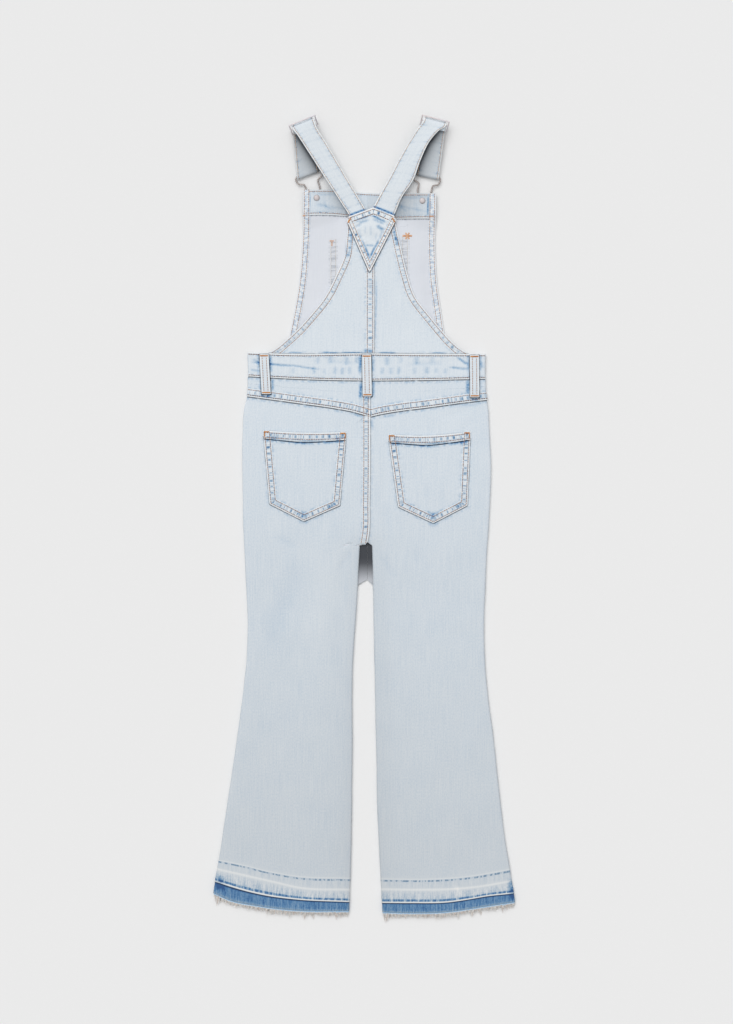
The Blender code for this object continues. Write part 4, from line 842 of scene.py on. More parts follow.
def denim_outside():
    """Cotton twill of 10 to 12 ounces, warp dyed with indigo, stone washed nearly white.

    The wash rubs the dye off high places and leaves it in the hollows: each seam has pale
    edges, dark blue hollows, and blue dimples where its stitches draw the layers in. Even cloth
    keeps faint upright slub streaks. A let-down hem shows the colour that its fold kept.
    """
    finish, shader, node, link = new_material("washed_denim")
    place = node("Attribute", attribute_name="cut", out="Vector")
    hem, shade, crease = [node("Attribute", attribute_name=name, out="Fac")
                          for name in ("hem", "shade", "kept")]
    slub, fleck = [node("TexNoise", {0: node("VectorMath", (place, (1 / width, 1 / length, 0.0)),
                                             operation="MULTIPLY"), "Scale": 1.0, "Detail": detail})
                   for width, length, detail in (SLUB, FLECK)]
    cloud = node("TexNoise", {0: place, "Scale": 1 / CLOUD, "Detail": 3.0})
    even = node("MapRange", {0: slub, "From Min": 0.3, "From Max": 0.7, "To Min": 0.145, "To Max": 0.195})
    even = total(node, even, (cloud, 0.05), (fleck, 0.17))

    mottle = node("MapRange", {0: node("TexNoise", {0: place, "Scale": 1 / MOTTLE, "Detail": 3.0}),
                               "From Min": 0.38, "From Max": 0.64, "To Min": 0.55, "To Max": 1.15})
    bluer, paler = [node("Math", (crease, 0.0), operation=way) for way in ("MAXIMUM", "MINIMUM")]
    stained = node("Math", (bluer, mottle, paler), operation="MULTIPLY_ADD")

    blue, deep = seam_dye(node, "seam")
    crossing_blue, crossing_deep = seam_dye(node, "crossing")
    hem_blue, hem_deep, let_down = hem_dye(node, place, hem, fleck)
    dye = total(node, even, (blue, 1.0), (crossing_blue, 1.0))
    dye = total(node, node("Mix", {0: let_down, 2: dye, 3: hem_blue}), (stained, 1.0))
    deep = total(node, hem_deep, (deep, 1.0), (crossing_deep, 1.0))

    colour = node("ValToRGB", (dye,), stops=INDIGO)
    colour = node("Mix", {0: deep, 6: colour, 7: srgb(DEEP_BLUE)}, out=2, data_type="RGBA")
    # painted shade: multiplied darker from the seat down to the hems, as the light falls off
    for high, low, tint in LIGHT_FALLOFF_TINTS:
        lower = node("MapRange", {0: node("SeparateXYZ", (place,), out="Y"), "From Min": high,
                                  "From Max": low})
        colour = node("Mix", {0: lower, 6: colour, 7: srgb(tint)}, out=2, data_type="RGBA",
                      blend_type="MULTIPLY")
    colour = node("Mix", {0: shade, 6: colour, 7: srgb(IN_SHADE)}, out=2, data_type="RGBA")
    link(colour, shader.inputs["Base Color"])

    wale = node("TexWave", {0: place, "Scale": WAVE_UNIT / TWILL, "Distortion": 1.2, "Detail": 1.0,
                            "Detail Scale": 3.0}, bands_direction="DIAGONAL", out="Fac")
    relief = total(node, slub, (wale, 0.12), (blue, -1.2))
    link(node("Bump", {"Height": relief, "Distance": 0.25 * MM, "Strength": 0.6}),
         shader.inputs["Normal"])
    shader.inputs["Roughness"].default_value = 0.85
    shader.inputs["Sheen Weight"].default_value = 0.12
    shader.inputs["Sheen Roughness"].default_value = 0.5
    return finish


def denim_reverse():
    """The inside of the same twill: undyed weft floats, matt, with a trace of indigo between.

    Its turned hems show a ladder of blue from the other side, and other seams show through grey.
    """
    finish, shader, node, link = new_material("denim_weft_side")
    place = node("Attribute", attribute_name="cut", out="Vector")
    streak = node("TexNoise", {0: node("VectorMath", (place, (1 / 1.1, 1 / 30.0, 1.0)),
                                       operation="MULTIPLY"), "Scale": 1.0, "Detail": 3.0})
    cloud = node("TexNoise", {0: place, "Scale": 1 / 60.0, "Detail": 2.0})
    tone = node("MapRange", {0: total(node, streak, (cloud, 1.2)), "From Min": 0.7, "From Max": 1.5})
    colour = node("ValToRGB", (tone,), stops=((0.0, "DADEE6"), (1.0, "E2E5EB")))
    for attribute, band, ladder, depth in (("seam", "E8EDF1", "9BB3CD", 6.0),
                                           ("crossing", "D9DCE2", "A4ABB6", 24.0)):
        seam = node("Attribute", attribute_name=attribute, out="Vector")
        out, weight = [node("SeparateXYZ", (seam,), out=axis) for axis in "YZ"]
        turned = profile(node, out, (SEAM_FROM, 0), (-0.2, 0), (0.3, 1), (10.2, 1), (10.9, 0), (SEAM_TO, 0))
        hollow = profile(node, out, (SEAM_FROM, 0), (-2.4, 0), (-1, 0.9), (0, 0.5), (0.6, 0), (1.8, 0.1),
                         (2.8, 0.9), (4.2, 0.7), (8, 0.7), (9, 1), (10, 0.2), (11, 0.6), (12, 0),
                         (SEAM_TO, 0))
        hollow = broken(node, hollow, seam, 3.3, depth, 0.45, 0.58)
        for share, tint in ((turned, band), (hollow, ladder)):
            share = node("Math", (share, weight), operation="MULTIPLY")
            colour = node("Mix", {0: share, 6: colour, 7: srgb(tint)}, out=2, data_type="RGBA")
    shade = node("Attribute", attribute_name="shade", out="Fac")
    colour = node("Mix", {0: shade, 6: colour, 7: srgb(IN_SHADE)}, out=2, data_type="RGBA")
    link(colour, shader.inputs["Base Color"])
    weft = node("TexWave", {0: place, "Scale": WAVE_UNIT / TWILL, "Distortion": 1.5, "Detail": 1.0,
                            "Detail Scale": 2.0}, bands_direction="Y", out="Fac")
    relief = total(node, streak, (weft, 0.2))
    link(node("Bump", {"Height": relief, "Distance": 0.2 * MM, "Strength": 0.5}), shader.inputs["Normal"])
    shader.inputs["Roughness"].default_value = 0.9
    shader.inputs["Sheen Weight"].default_value = 0.1
    return finish


def sewing_thread(name, dark, light):
    """Spun polyester topstitching thread: two plies, satin rather than glossy."""
    finish, shader, node, link = new_material(name)
    place = node("NewGeometry", out="Position")
    tone = node("TexNoise", {0: place, "Scale": 260.0, "Detail": 2.0})
    link(node("ValToRGB", (tone,), stops=((0.35, dark), (0.65, light))), shader.inputs["Base Color"])
    ply = node("TexWave", {0: place, "Scale": WAVE_UNIT / (0.5 * MM), "Distortion": 2.0},
               bands_direction="DIAGONAL", out="Fac")
    link(node("Bump", {"Height": ply, "Distance": 0.1 * MM}), shader.inputs["Normal"])
    shader.inputs["Roughness"].default_value = 0.55
    shader.inputs["Sheen Weight"].default_value = 0.1
    return finish


def loose_yarn():
    """Ravelled cotton yarn: blue where it leaves the cloth, bleached to cream at its tip."""
    finish, shader, node, link = new_material("ravelled_yarn")
    out, tone = [node("Attribute", attribute_name=name, out="Fac") for name in ("out", "tone")]
    colour = node("ValToRGB", (total(node, out, (tone, 0.3)),), stops=(
        (0.0, "6C9FCD"), (0.2, "A8CAE3"), (0.34, "ECE9E6"), (0.7, "F5F1EC"), (1.0, "F8F5F0")))
    tinted = node("MapRange", {0: tone, "From Min": 0.84, "From Max": 0.88, "To Max": 0.7})
    colour = node("Mix", {0: tinted, 6: colour, 7: srgb("C49C86")}, out=2, data_type="RGBA")
    link(colour, shader.inputs["Base Color"])
    fuzz = node("TexNoise", {0: node("NewGeometry", out="Position"), "Scale": 1500.0, "Detail": 2.0})
    link(node("Bump", {"Height": fuzz, "Distance": 0.1 * MM}), shader.inputs["Normal"])
    shader.inputs["Roughness"].default_value = 0.9
    shader.inputs["Sheen Weight"].default_value = 0.2
    return finish


def nickel_plate(name, dark, light, smooth, rough):
    """Steel, barrel plated with nickel: faintly warm, finely tumbled, soft pale reflections."""
    finish, shader, node, link = new_material(name)
    place = node("NewGeometry", out="Position")
    tone = node("TexNoise", {0: place, "Scale": 90.0, "Detail": 2.0})
    tumbled = node("TexNoise", {0: place, "Scale": 700.0, "Detail": 4.0})
    link(node("ValToRGB", (tone,), stops=((0.3, dark), (0.7, light))), shader.inputs["Base Color"])
    link(node("MapRange", {0: tumbled, "To Min": smooth, "To Max": rough}), shader.inputs["Roughness"])
    link(node("Bump", {"Height": tumbled, "Distance": 0.02 * MM}), shader.inputs["Normal"])
    shader.inputs["Metallic"].default_value = 1.0
    return finish


DENIM_FACE, DENIM_BACK = denim_outside(), denim_reverse()
BOTH_SIDES = (DENIM_FACE, DENIM_BACK)
TAN_THREAD = sewing_thread("tan_thread", "A56C40", "C68E5C")
BROWN_THREAD = sewing_thread("brown_thread", "6B4534", "96694C")
ORANGE_THREAD = sewing_thread("orange_thread", "B8743A", "D9984F")
CREAM_THREAD = sewing_thread("cream_thread", "CFC9BF", "E4DFD6")
SAND_THREAD = sewing_thread("sand_thread", "BE9674", "D9B999")
APRICOT_THREAD = sewing_thread("apricot_thread", "D39D76", "EBBE9A")
YARN = loose_yarn()
NICKEL = nickel_plate("nickel_plate", "F2ECEE", "F0EFF5", 0.5, 0.75)
SATIN_NICKEL = nickel_plate("satin_nickel", "F4EDEC", "F2F1F5", 0.8, 0.95)
TACK_NICKEL = nickel_plate("tack_nickel", "CBC4C4", "D6D0D1", 0.6, 0.75)
# painted shade: the clasps' nickel gets a dark base colour that stands in for the dark reflections along a
# thin wire
DARKENED_WIRE_NICKEL = nickel_plate("nickel_wire_painted_dark", "958C88", "ADA5A2", 0.3, 0.42)


# ------------------------ meshes
BUTTONS = {"left": (-70.4, 483.6), "right": (77.4, 479.6)}
button_low, button_high = (np.array(corner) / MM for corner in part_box("button_left"))
LAID = np.append((button_low + button_high)[:2] / 2 - BUTTONS["left"], 0.0)
made = {}                   # node name: its shell
RIPPLES = ((61.0, 0.35, 0.1), (43.0, 1.25, 0.07), (83.0, 2.1, 0.12), (29.0, 2.75, 0.04))
FAR_ACROSS, FAR_FROM_HEM = 60.0, 200.0      # out of reach of every seam's and hem's pattern
SEAM_MIDDLE = 3.0           # across a seam's pattern, where it is compared with its neighbours
# painted shadow: outside a folded edge, the pattern keeps only this share where that side faces the light
OUTLINE_LIT_SHARE = 0.4            # a folded edge's outline, where the edge faces the straps
DEEPEST_CREASE = 0.6        # as a share of the wall
INSIDE_PATTERN = (300.0, 0.0, 0.0)          # a wall's two sides don't share one pattern
UNSEEN_SEAM = (1.0, 1.0, 0.0)


def build(name, vertices, faces, finishes, face_finish=None, sharp=None):
    """A mesh object from points in millimetres. face_finish picks a finish for each face."""
    mesh = bpy.data.meshes.new(name)
    mesh.from_pydata(((np.asarray(vertices) + LAID) * MM).tolist(), [], faces)
    for finish in finishes:
        mesh.materials.append(finish)
    if face_finish is not None:
        mesh.polygons.foreach_set("material_index", face_finish)
    mesh.shade_smooth()
    if sharp is not None:
        mesh.set_sharp_from_angle(angle=math.radians(sharp))
    piece = bpy.data.objects.new(name, mesh)
    bpy.context.collection.objects.link(piece)
    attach(piece, "root")
    return piece


def grid_faces(rows, cols, start=0, turned=False):
    """Quads of a grid of points, as rows of four indices."""
    i, j = np.meshgrid(np.arange(rows - 1), np.arange(cols - 1), indexing="ij")
    a = (start + i * cols + j).ravel()
    faces = np.stack([a, a + cols, a + cols + 1, a + 1], axis=1)
    return faces[:, ::-1] if turned else faces


def wall(name, outer, inner, finishes):
    """A closed wall from two grids of points, rim included. The inner side has the last finish."""
    rows, cols = outer.shape[:2]
    size = rows * cols
    rim = ([(i, 0) for i in range(rows - 1)] + [(rows - 1, j) for j in range(cols - 1)]
           + [(i, cols - 1) for i in range(rows - 1, 0, -1)] + [(0, j) for j in range(cols - 1, 0, -1)])
    rim = np.array([i * cols + j for i, j in rim])
    after = np.roll(rim, -1)
    sides = np.stack([rim, rim + size, after + size, after], axis=1)
    corner = outer[0, 0]
    up = np.cross(outer[-1, 0] - corner, outer[0, -1] - corner)
    turned = np.dot(up, (outer - inner).reshape(-1, 3).mean(axis=0)) < 0
    faces = np.concatenate([grid_faces(rows, cols, 0, turned), grid_faces(rows, cols, size, not turned),
                            sides[:, ::-1] if turned else sides])
    finish = np.zeros(len(faces), dtype=np.int32)
    quads = (rows - 1) * (cols - 1)
    finish[quads:2 * quads] = len(finishes) - 1
    vertices = np.concatenate([outer.reshape(-1, 3), inner.reshape(-1, 3)])
    return build(name, vertices, faces.tolist(), finishes, finish, sharp=50)


def cut_size(points):
    """Width and length of a piece as it was cut, and its area, in metres."""
    across, up = np.diff(points, axis=0), np.diff(points, axis=1)
    width = np.linalg.norm(across, axis=-1).sum(axis=0).max() * MM
    length = np.linalg.norm(up, axis=-1).sum(axis=1).max() * MM
    area = np.linalg.norm(np.cross(across[:, :-1], up[:-1]), axis=-1).sum() * MM * MM
    return width, length, min(area, width * length)


def seam_map(group, x, y):
    """Along, across and strength of the nearest seam of a group, and the height of its gathers."""
    along, across, weight, height = 0.0 * x, FAR_ACROSS + 0.0 * x, 0.0 * x, 0.0 * x
    for name, strength in group:
        seam_along, seam_across, upward = seams[name].reach(x, y)
        height = height + strength * pucker_window(seam_across) * puckers(name, seam_along, seam_across)
        placed = seam_place(name, seam_across)
        # painted shadow: outside a folded edge the pattern is full where that side faces away from the light
        edge = np.where(placed < 0, OUTLINE_LIT_SHARE + (1 - OUTLINE_LIT_SHARE) * np.clip(upward, 0.0, 1.0), 1.0)
        beside = (seam_along > 0.0) & (seam_along < seams[name].lengths[-1])
        faded = strength * beside * edge * ease((24.0 - placed) / 6.0) * ease((placed + 13.0) / 3.0)
        nearer = np.abs(placed - SEAM_MIDDLE) < np.abs(across - SEAM_MIDDLE)
        along, across = np.where(nearer, seam_along, along), np.where(nearer, placed, across)
        weight = np.where(nearer, faded, weight)
    return np.stack([along, across, weight], axis=-1), height


def shell(node, surface, us, vs, finishes=BOTH_SIDES, thick=DENIM, raised=None, face=1, lift=0.0,
          near=(), over=(), hem=None, shade=None, slot="denim", rests_on=(), creases=None, kept=0.0):
    """A thin shell of cloth that stands for a node, on its solid's form.

    near lists the seams that shape it, with how strongly each one shows, and over the seams that
    cross those. raised, hem and shade give extra height, height above the raw hem and deep shade
    at its points. creases names its group of CREASES, and kept is the dye that the wash left.
    """
    u, v = np.meshgrid(us, vs, indexing="ij")
    points, normal = sample(surface, u, v)
    normal = normal * face * np.sign(np.mean(normal[..., 2]))
    points = points + normal * lift
    x, y = points[..., 0], points[..., 1]
    height = np.zeros_like(x) if raised is None else raised(u, v, points)
    maps = []
    for group in (near, over):
        seam, gathers = seam_map(group, x, y)
        maps.append(seam)
        height = height + gathers
    crease_height, crease_dye_and_shade = lay(creases, x, y)
    height = np.maximum(height + crease_height + ripple(x, y), -DEEPEST_CREASE * thick)
    if face < 0:                                    # the side that lies on the floor
        height = np.minimum(height, 0.0)
    outer = points + normal * (thick / 2 + height)[..., None]
    inner = points - normal * (thick / 2)
    piece = wall("cloth_" + node, outer, inner, finishes)
    place = np.stack([x, y, 0 * x], axis=-1)
    above = np.full_like(x, FAR_FROM_HEM) if hem is None else hem(x, y)
    dark = np.zeros_like(x) if shade is None else shade(x, y)
    paint(piece, place, *maps, above, crease_dye_and_shade + kept, (dark * (face > 0), dark))
    stand_for(node, slot)
    width, length, area = cut_size(points)
    dict(flat=(width, length), held="laid", rests_on=list(rests_on), area=area)
    made[node] = piece


def paint(piece, place, seam, crossing, hem, kept, shades):
    """What the denim's finish reads at each point, on both sides of a wall."""
    for name, outside, inside in (
            ("cut", place, place + INSIDE_PATTERN), ("seam", seam, seam * UNSEEN_SEAM),
            ("crossing", crossing, crossing * UNSEEN_SEAM), ("hem", hem, hem),
            ("kept", kept, kept * 0.0), ("shade", *shades)):
        values = np.stack([outside, inside]).astype(np.float32)
        vector = values.ndim == 4
        layer = piece.data.attributes.new(name, "FLOAT_VECTOR" if vector else "FLOAT", "POINT")
        layer.data.foreach_set("vector" if vector else "value", values.ravel())


def stand_for(node, slot):
    """Hide the solid of a node that a piece stands in for. slot is not used."""
    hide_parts(node)


def ripple(x, y):
    """Slight uneven lie of cloth that was smoothed out by hand."""
    height = 0.0 * x
    for wave, angle, rise in RIPPLES:
        height = height + rise * np.sin(2 * math.pi * (x * math.cos(angle) + y * math.sin(angle)) / wave
                                        + 3.0 * angle + 0.7 * np.sin(y / wave))
    return height


# ------------------------ legs and yokes
OLD_FOLD_RIDGE, OLD_FOLD_GATHER = 0.5, 0.1
GATHER_WAVES = (5.7, 8.3, 13.1)
HEM_STEPS = np.linspace(0.0, 1.0, 40)
# steps of each shell's grid, across and up, between its edge strips
STEPS = {
    "back_leg": (56, 205), "front_leg": (20, 90), "back_yoke": (80, 12), "back_waistband": (150, 16),
    "front_waistband": (60, 16), "bib": (72, 76), "bib_pocket": (26, 24), "upper_back": (52, 84),
}
# how dark the shade beside the legs' gap is, how far it reaches, and where it starts to fade
GAP_SHADE, GAP_SHADE_REACH, GAP_SHADE_TOP, GAP_SHADE_FADE = 0.085, 19.0, 34.0, 40.0
# the shade on the front's fork: at its top and at its foot, and the box that it fills
FORK_SHADE, FORK_SHADE_END = 0.95, 0.25
FORK_TOP, FORK_FADE, FORK_HALF, FORK_SOFT, FORK_FOOT = -22.0, 37.0, 26.0, 6.0, -64.0


def above_hem(side):
    """Height above the raw edge, on the scale of an evenly let down hem."""
    names = sorted(HEM_HEIGHTS, key=HEM_HEIGHTS.get)

    def read(x, y):
        edges = [hem_lines[side][name](x) for name in names]
        height = y - edges[0]
        for low, high, name, above in zip(edges, edges[1:], names, names[1:]):
            share = (y - low) / (high - low)
            between_lines = HEM_HEIGHTS[name] + share * (HEM_HEIGHTS[above] - HEM_HEIGHTS[name])
            height = np.where((share > 0) & (share <= 1), between_lines, height)
        over = y - edges[-1]
        return np.where(over > 0, LET_DOWN + over, height)

    return read


def hem_relief(side, strength=1.0):
    """Ridge at the old fold, and the small gathers that its stitching left above it."""
    above = above_hem(side)

    def relief(u, v, points):
        x, height = points[..., 0], above(points[..., 0], points[..., 1])
        ridge = OLD_FOLD_RIDGE * ease((height - 12.6) / 1.6) * ease((33.0 - height) / 19.0)
        waves = sum(np.sin(2 * math.pi * (x + 0.12 * wave * height) / wave + wave)
                    for wave in GATHER_WAVES)
        gathers = OLD_FOLD_GATHER * ease((height - 15.0) / 2.0) * ease((34.0 - height) / 14.0) * waves
        return strength * (ridge + gathers)

    return relief


def raised_left(height):
    """Extra height of a turned or felled left edge, over the outer part of its strip."""
    return lambda u: height * ease((STRIP_SHARE - u) / (0.15 * STRIP_SHARE))


def raised_right(height):
    rise = raised_left(height)
    return lambda u: rise(1 - u)


def leg_surface(side, fork_y, top, height):
    """Middle surface of a leg piece, which rolls over at its side and at its inseam."""
    below = below_fork(fork_y)
    if side == "left":
        edges, folds = (left_side, fork_edge(left_inseam, fork_y, -SEAM_GAP / 2)), (1, below)
    else:
        edges, folds = (fork_edge(right_inseam, fork_y, SEAM_GAP / 2), right_side), (below, 1)
    return panel(*edges, hem_lines[side]["raw"], top, height, folds, borders=(LET_DOWN, TOP_BORDER))


def beside_gap(x, y):
    """Faint shade where the legs' cloth turns down into the gap between them."""
    near = np.exp(-np.maximum(gap_distance(x, y), 0.0) / GAP_SHADE_REACH)
    return GAP_SHADE * near * ease((GAP_SHADE_TOP - y) / GAP_SHADE_FADE)


def in_fork(x, y):
    """Deep shade where the front's fork shows between the back legs."""
    dark = FORK_SHADE - (FORK_SHADE - FORK_SHADE_END) * ease((FORK_TOP - y) / FORK_FADE)
    return dark * ease((FORK_HALF - np.abs(x)) / FORK_SOFT) * (y > FORK_FOOT)


def back_legs():
    across, up = STEPS["back_leg"]
    for side in LEFT_RIGHT:
        hem, fell = hem_relief(side), raised_right(FELL)

        def raised(u, v, points, side=side, hem=hem, fell=fell):
            seat = fell(u) * ease(points[..., 1] / 12.0) if side == "left" else 0.0
            return hem(u, v, points) + seat

        shell("back_leg_" + side, leg_surface(side, 0.0, shifted(yoke_seam, -SEAM_GAP / 2), back_height),
              lines(ROLLED, across, ROLLED), lines(HEM_STEPS, up, cut(TOP_BORDER)), raised=raised,
              hem=above_hem(side), rests_on=["front_leg_" + side], creases="back", shade=beside_gap,
              near=(("yoke", 1.0), ("seat", 0.8)),
              over=(("pocket_" + side, 0.8), ("pocket_top_" + side, 0.3), ("loop_" + side, 1.2),
                    ("loop_centre", 1.2)))


def front_legs():
    across, up = STEPS["front_leg"]
    top = shifted(band_low, -SEAM_GAP / 2)
    for side in LEFT_RIGHT:
        shell("front_leg_" + side, leg_surface(side, FRONT_FORK_Y, top, front_height),
              lines(ROLLED, across, ROLLED), lines(HEM_STEPS[::2], up, cut(TOP_BORDER)), face=-1,
              hem=above_hem(side), shade=in_fork, raised=hem_relief(side, 0.3))


def back_yokes():
    low, high = shifted(yoke_seam, SEAM_GAP / 2), shifted(band_low, -SEAM_GAP / 2)
    across, up = STEPS["back_yoke"]
    seat_fell, fell = raised_right(FELL), raised_left(FELL)
    for side, edges, folds, us in (
            ("left", (left_side, shifted(seat_seam, -SEAM_GAP / 2)), (1, 0),
             lines(ROLLED, across, cut(BODY_STRIP))),
            ("right", (shifted(seat_seam, SEAM_GAP / 2), right_side), (0, 1),
             lines(cut(BODY_STRIP), across, ROLLED))):

        def raised(u, v, points, side=side):
            return np.maximum(fell(v), seat_fell(u) if side == "left" else 0.0)

        surface = panel(*edges, low, high, back_height, folds, borders=(TOP_BORDER, BAND_BORDER))
        shell("back_yoke_" + side, surface, us, lines(cut(TOP_BORDER), up, cut(BAND_BORDER)),
              raised=raised, rests_on=["front_leg_" + side], creases="back",
              near=(("yoke", 1.0), ("band_low", 0.9)),
              over=(("seat", 0.8), ("loop_" + side, 1.4), ("loop_centre", 1.4)))


# ------------------------ waistbands
BAND_FOLD_RADIUS = (BACK_BAND_Z - FRONT_BAND_Z) / 2
BAND_STRIP = BAND / 2 + BAND_FOLD_RADIUS + EDGE_STRIP


def band_height(x, y):
    """Middle of the back waistband."""
    soft = 1.0 - np.exp(-np.minimum(x - left_side(y), right_side(y) - x) / CROWN_REACH)
    return BACK_BAND_Z + CROWN * soft


def waistbands():
    border = cut(BAND_BORDER)
    for node, height, facts in (
            ("back_waistband", band_height,
             dict(face=1, creases="band", over=[("loop_" + side, 1.4) for side in LOOPS],
                  rests_on=["front_waistband"])),
            ("front_waistband", lambda x, y: 0 * x + FRONT_BAND_Z, dict(face=-1))):
        across, up = STEPS[node]
        surface = panel(left_side, right_side, shifted(band_low, SEAM_GAP / 2), band_top, height,
                        (1, 1), (BAND_STRIP, BAND_STRIP), radius=BAND_FOLD_RADIUS, wall=BAND,
                        fold_z=BAND_FOLD_Z, borders=(BAND_BORDER, BAND_BORDER))
        shell(node, surface, lines(ROLLED, across, ROLLED), lines(border, up, border), (DENIM_FACE,),
              thick=BAND, kept=-0.02, near=(("band_low", 1.0), ("band_top", 0.9)), **facts)


# ------------------------ bib
POCKET_CLEAR, POCKET_FALL = 13.0, 22.0
BUTTON_HEAD, BUTTON_RADIUS = 2.2, 8.5
NECK_RADIUS, WIRE_RADIUS = 2.6, 1.1
BUTTON_LIFT = BUTTON_HEAD + 2 * WIRE_RADIUS + 2 * SEAM_GAP
BUTTON_CLEAR, BUTTON_FALL = 21.0, 34.0
CLASP_REACH = 5.0
# the straps' shade on the facing, left of the centre and right of it: how dark, and its reach
STRAP_SHADE = ((0.44, 11.0), (0.56, 20.0))


def bib_height(x, y):
    """Middle of the bib's wall, lifted over its pocket and over the buttoned clasps."""
    pocket = BIB_POCKET
    beside = np.maximum(np.maximum(pocket["left"] - x, x - pocket["right"]), 0.0)
    beyond = np.maximum(np.maximum(pocket["low"] - y, y - pocket["high"]), 0.0)
    lift = ON_DENIM * (1 - ease((np.hypot(beside, beyond) - POCKET_CLEAR) / POCKET_FALL))
    for button_x, button_y in BUTTONS.values():
        away = np.hypot(x - button_x, y - button_y - CLASP_REACH)
        lift = np.hypot(lift, BUTTON_LIFT * (1 - ease((away - BUTTON_CLEAR) / BUTTON_FALL)))
    return FRONT_Z + lift


def under_straps(x, y):
    """Shade that the straps cast on the facing beneath them, deeper away from the light."""
    away = np.minimum(*(np.abs(seams["run_" + side].reach(x, y)[1]) for side in LEFT_RIGHT))
    left, right = [dark * np.exp(-away / reach) for dark, reach in STRAP_SHADE]
    return np.where(x < 0, left, right)


def bib_pieces():
    surface = panel(bib_left, bib_right, shifted(band_top, SEAM_GAP), bib_top, bib_height,
                    strips=(BIB_HEM, BIB_HEM), borders=(EDGE_BORDER, FACING_DEPTH))
    hem_left, hem_right = raised_left(HEM_FOLD), raised_right(HEM_FOLD)
    across, up = STEPS["bib"]
    shell("bib", surface, lines(cut(BIB_HEM), across, cut(BIB_HEM)),
          lines(cut(EDGE_BORDER), up, np.linspace(0.0, 1.0, 26)), BOTH_SIDES[::-1],
          raised=lambda u, v, points: hem_left(u) + hem_right(u), slot="denim_inside",
          near=(("bib_left", 0.9), ("bib_right", 0.9)), over=(("facing_low", 1.0), ("bib_pocket", 0.85)),
          rests_on=["bib_pocket"])
    shell("bib_facing", surface, np.linspace(STRIP_SHARE, 1 - STRIP_SHARE, 110),
          np.linspace(1 - STRIP_SHARE, 1.0, 32), lift=ON_DENIM,
          near=(("facing_low", 0.9), ("bib_top", 0.7)), rests_on=["cloth_bib"], creases="facing",
          kept=0.01, shade=under_straps)


def bib_pocket():
    pocket = BIB_POCKET
    low = curve(BIB_POCKET_FOOT)
    surface = panel(lambda y: 0 * y + pocket["left"], lambda y: 0 * y + pocket["right"],
                    low, lambda x: 0 * x + pocket["high"], front_height)
    across, up = STEPS["bib_pocket"]
    shell("bib_pocket", surface, lines(cut(BODY_STRIP), across, cut(BODY_STRIP)),
          lines(cut(EDGE_BORDER), up, cut(EDGE_BORDER)), face=-1, near=(("bib_pocket", 0.9),))


# ------------------------ upper back and patch
ARMHOLE_HEM = 10.0
FELL_STRIP = 10.0
UNDER_PATCH_Y = 438.0
BAND_STEP_FADE = 20.0
PATCH_EDGE = 5.0
# y where the patch starts to climb onto the straps, and where it is up
PATCH_CLIMB = (STRAP_END_Y - 22.0, STRAP_END_Y - 6.0)


def upper_height(x, y):
    """Middle of the upper back's wall, which comes down off the waistband."""
    step = BACK_BAND_Z + CROWN - BACK_Z
    return BACK_Z + step * np.exp(-(y - band_top(x)) / BAND_STEP_FADE)


def upper_backs():
    low, high = shifted(band_top, SEAM_GAP), lambda x: 0 * x + UPPER_BACK_TOP
    across, up = STEPS["upper_back"]
    hem_left, hem_right, fell = raised_left(HEM_FOLD), raised_right(HEM_FOLD), raised_right(FELL)
    for side, edges, strips, rise in (
            ("left", (armhole_left, lambda y: 0 * y + BACK_SEAM_X - SEAM_GAP / 2),
             (ARMHOLE_HEM, FELL_STRIP), lambda u: hem_left(u) + fell(u)),
            ("right", (lambda y: 0 * y + BACK_SEAM_X + SEAM_GAP / 2, armhole_right),
             (EDGE_STRIP, ARMHOLE_HEM), hem_right)):

        def raised(u, v, points, rise=rise):
            return rise(u) * ease((UNDER_PATCH_Y - points[..., 1]) / 6.0)

        surface = panel(*edges, low, high, upper_height, strips=strips)
        shell("upper_back_" + side, surface, lines(cut(strips[0]), across, cut(strips[1])),
              lines(cut(EDGE_BORDER), up, cut(EDGE_BORDER)), raised=raised,
              near=(("armhole_" + side, 0.66), ("centre_back", 0.8)),
              over=(("patch_sides", 1.2), ("band_top", 0.9)),
              rests_on=["cloth_bib"], creases="upper", kept=-0.02)


def patch_height(x, y):
    """On the upper back below the straps' ends, and on the straps above them."""
    on_back = BACK_Z + ON_DENIM + FELL
    on_straps = STRAP_ON_BACK_Z + STRAP / 2 + SEAM_GAP + DENIM / 2
    start, end = PATCH_CLIMB
    return on_back + (on_straps - on_back) * ease((y - start) / (end - start))


def strap_patch():
    sides, top = np.array(PATCH_SIDES), np.array(PATCH_TOP)
    left, right = [lambda y, column=column: np.interp(y, sides[:, 0], sides[:, column])
                   for column in (1, 2)]
    surface = panel(left, right, lambda x: 0 * x + PATCH_SIDES[0][0],
                    lambda x: np.interp(x, top[:, 0], top[:, 1]), patch_height,
                    strips=(PATCH_EDGE, PATCH_EDGE))
    rise_left, rise_right = raised_left(FELL), raised_right(FELL)
    shell("strap_patch", surface, lines(cut(PATCH_EDGE), 34, cut(PATCH_EDGE)), np.linspace(0, 1, 70),
          raised=lambda u, v, points: np.maximum(rise_left(u), rise_right(u)) * ease(v / 0.2),
          near=(("patch_sides", 1.3), ("patch_top", 1.3)), rests_on=["cloth_upper_back_left"],
          creases="patch", kept=-0.07)


# ------------------------ back pockets and loops
POCKET_HEM_RISE, POCKET_FOLD = 0.8, 0.5
POCKET_ALLOWANCE = 10.6     # width of the turned edge that shows through as a ridge


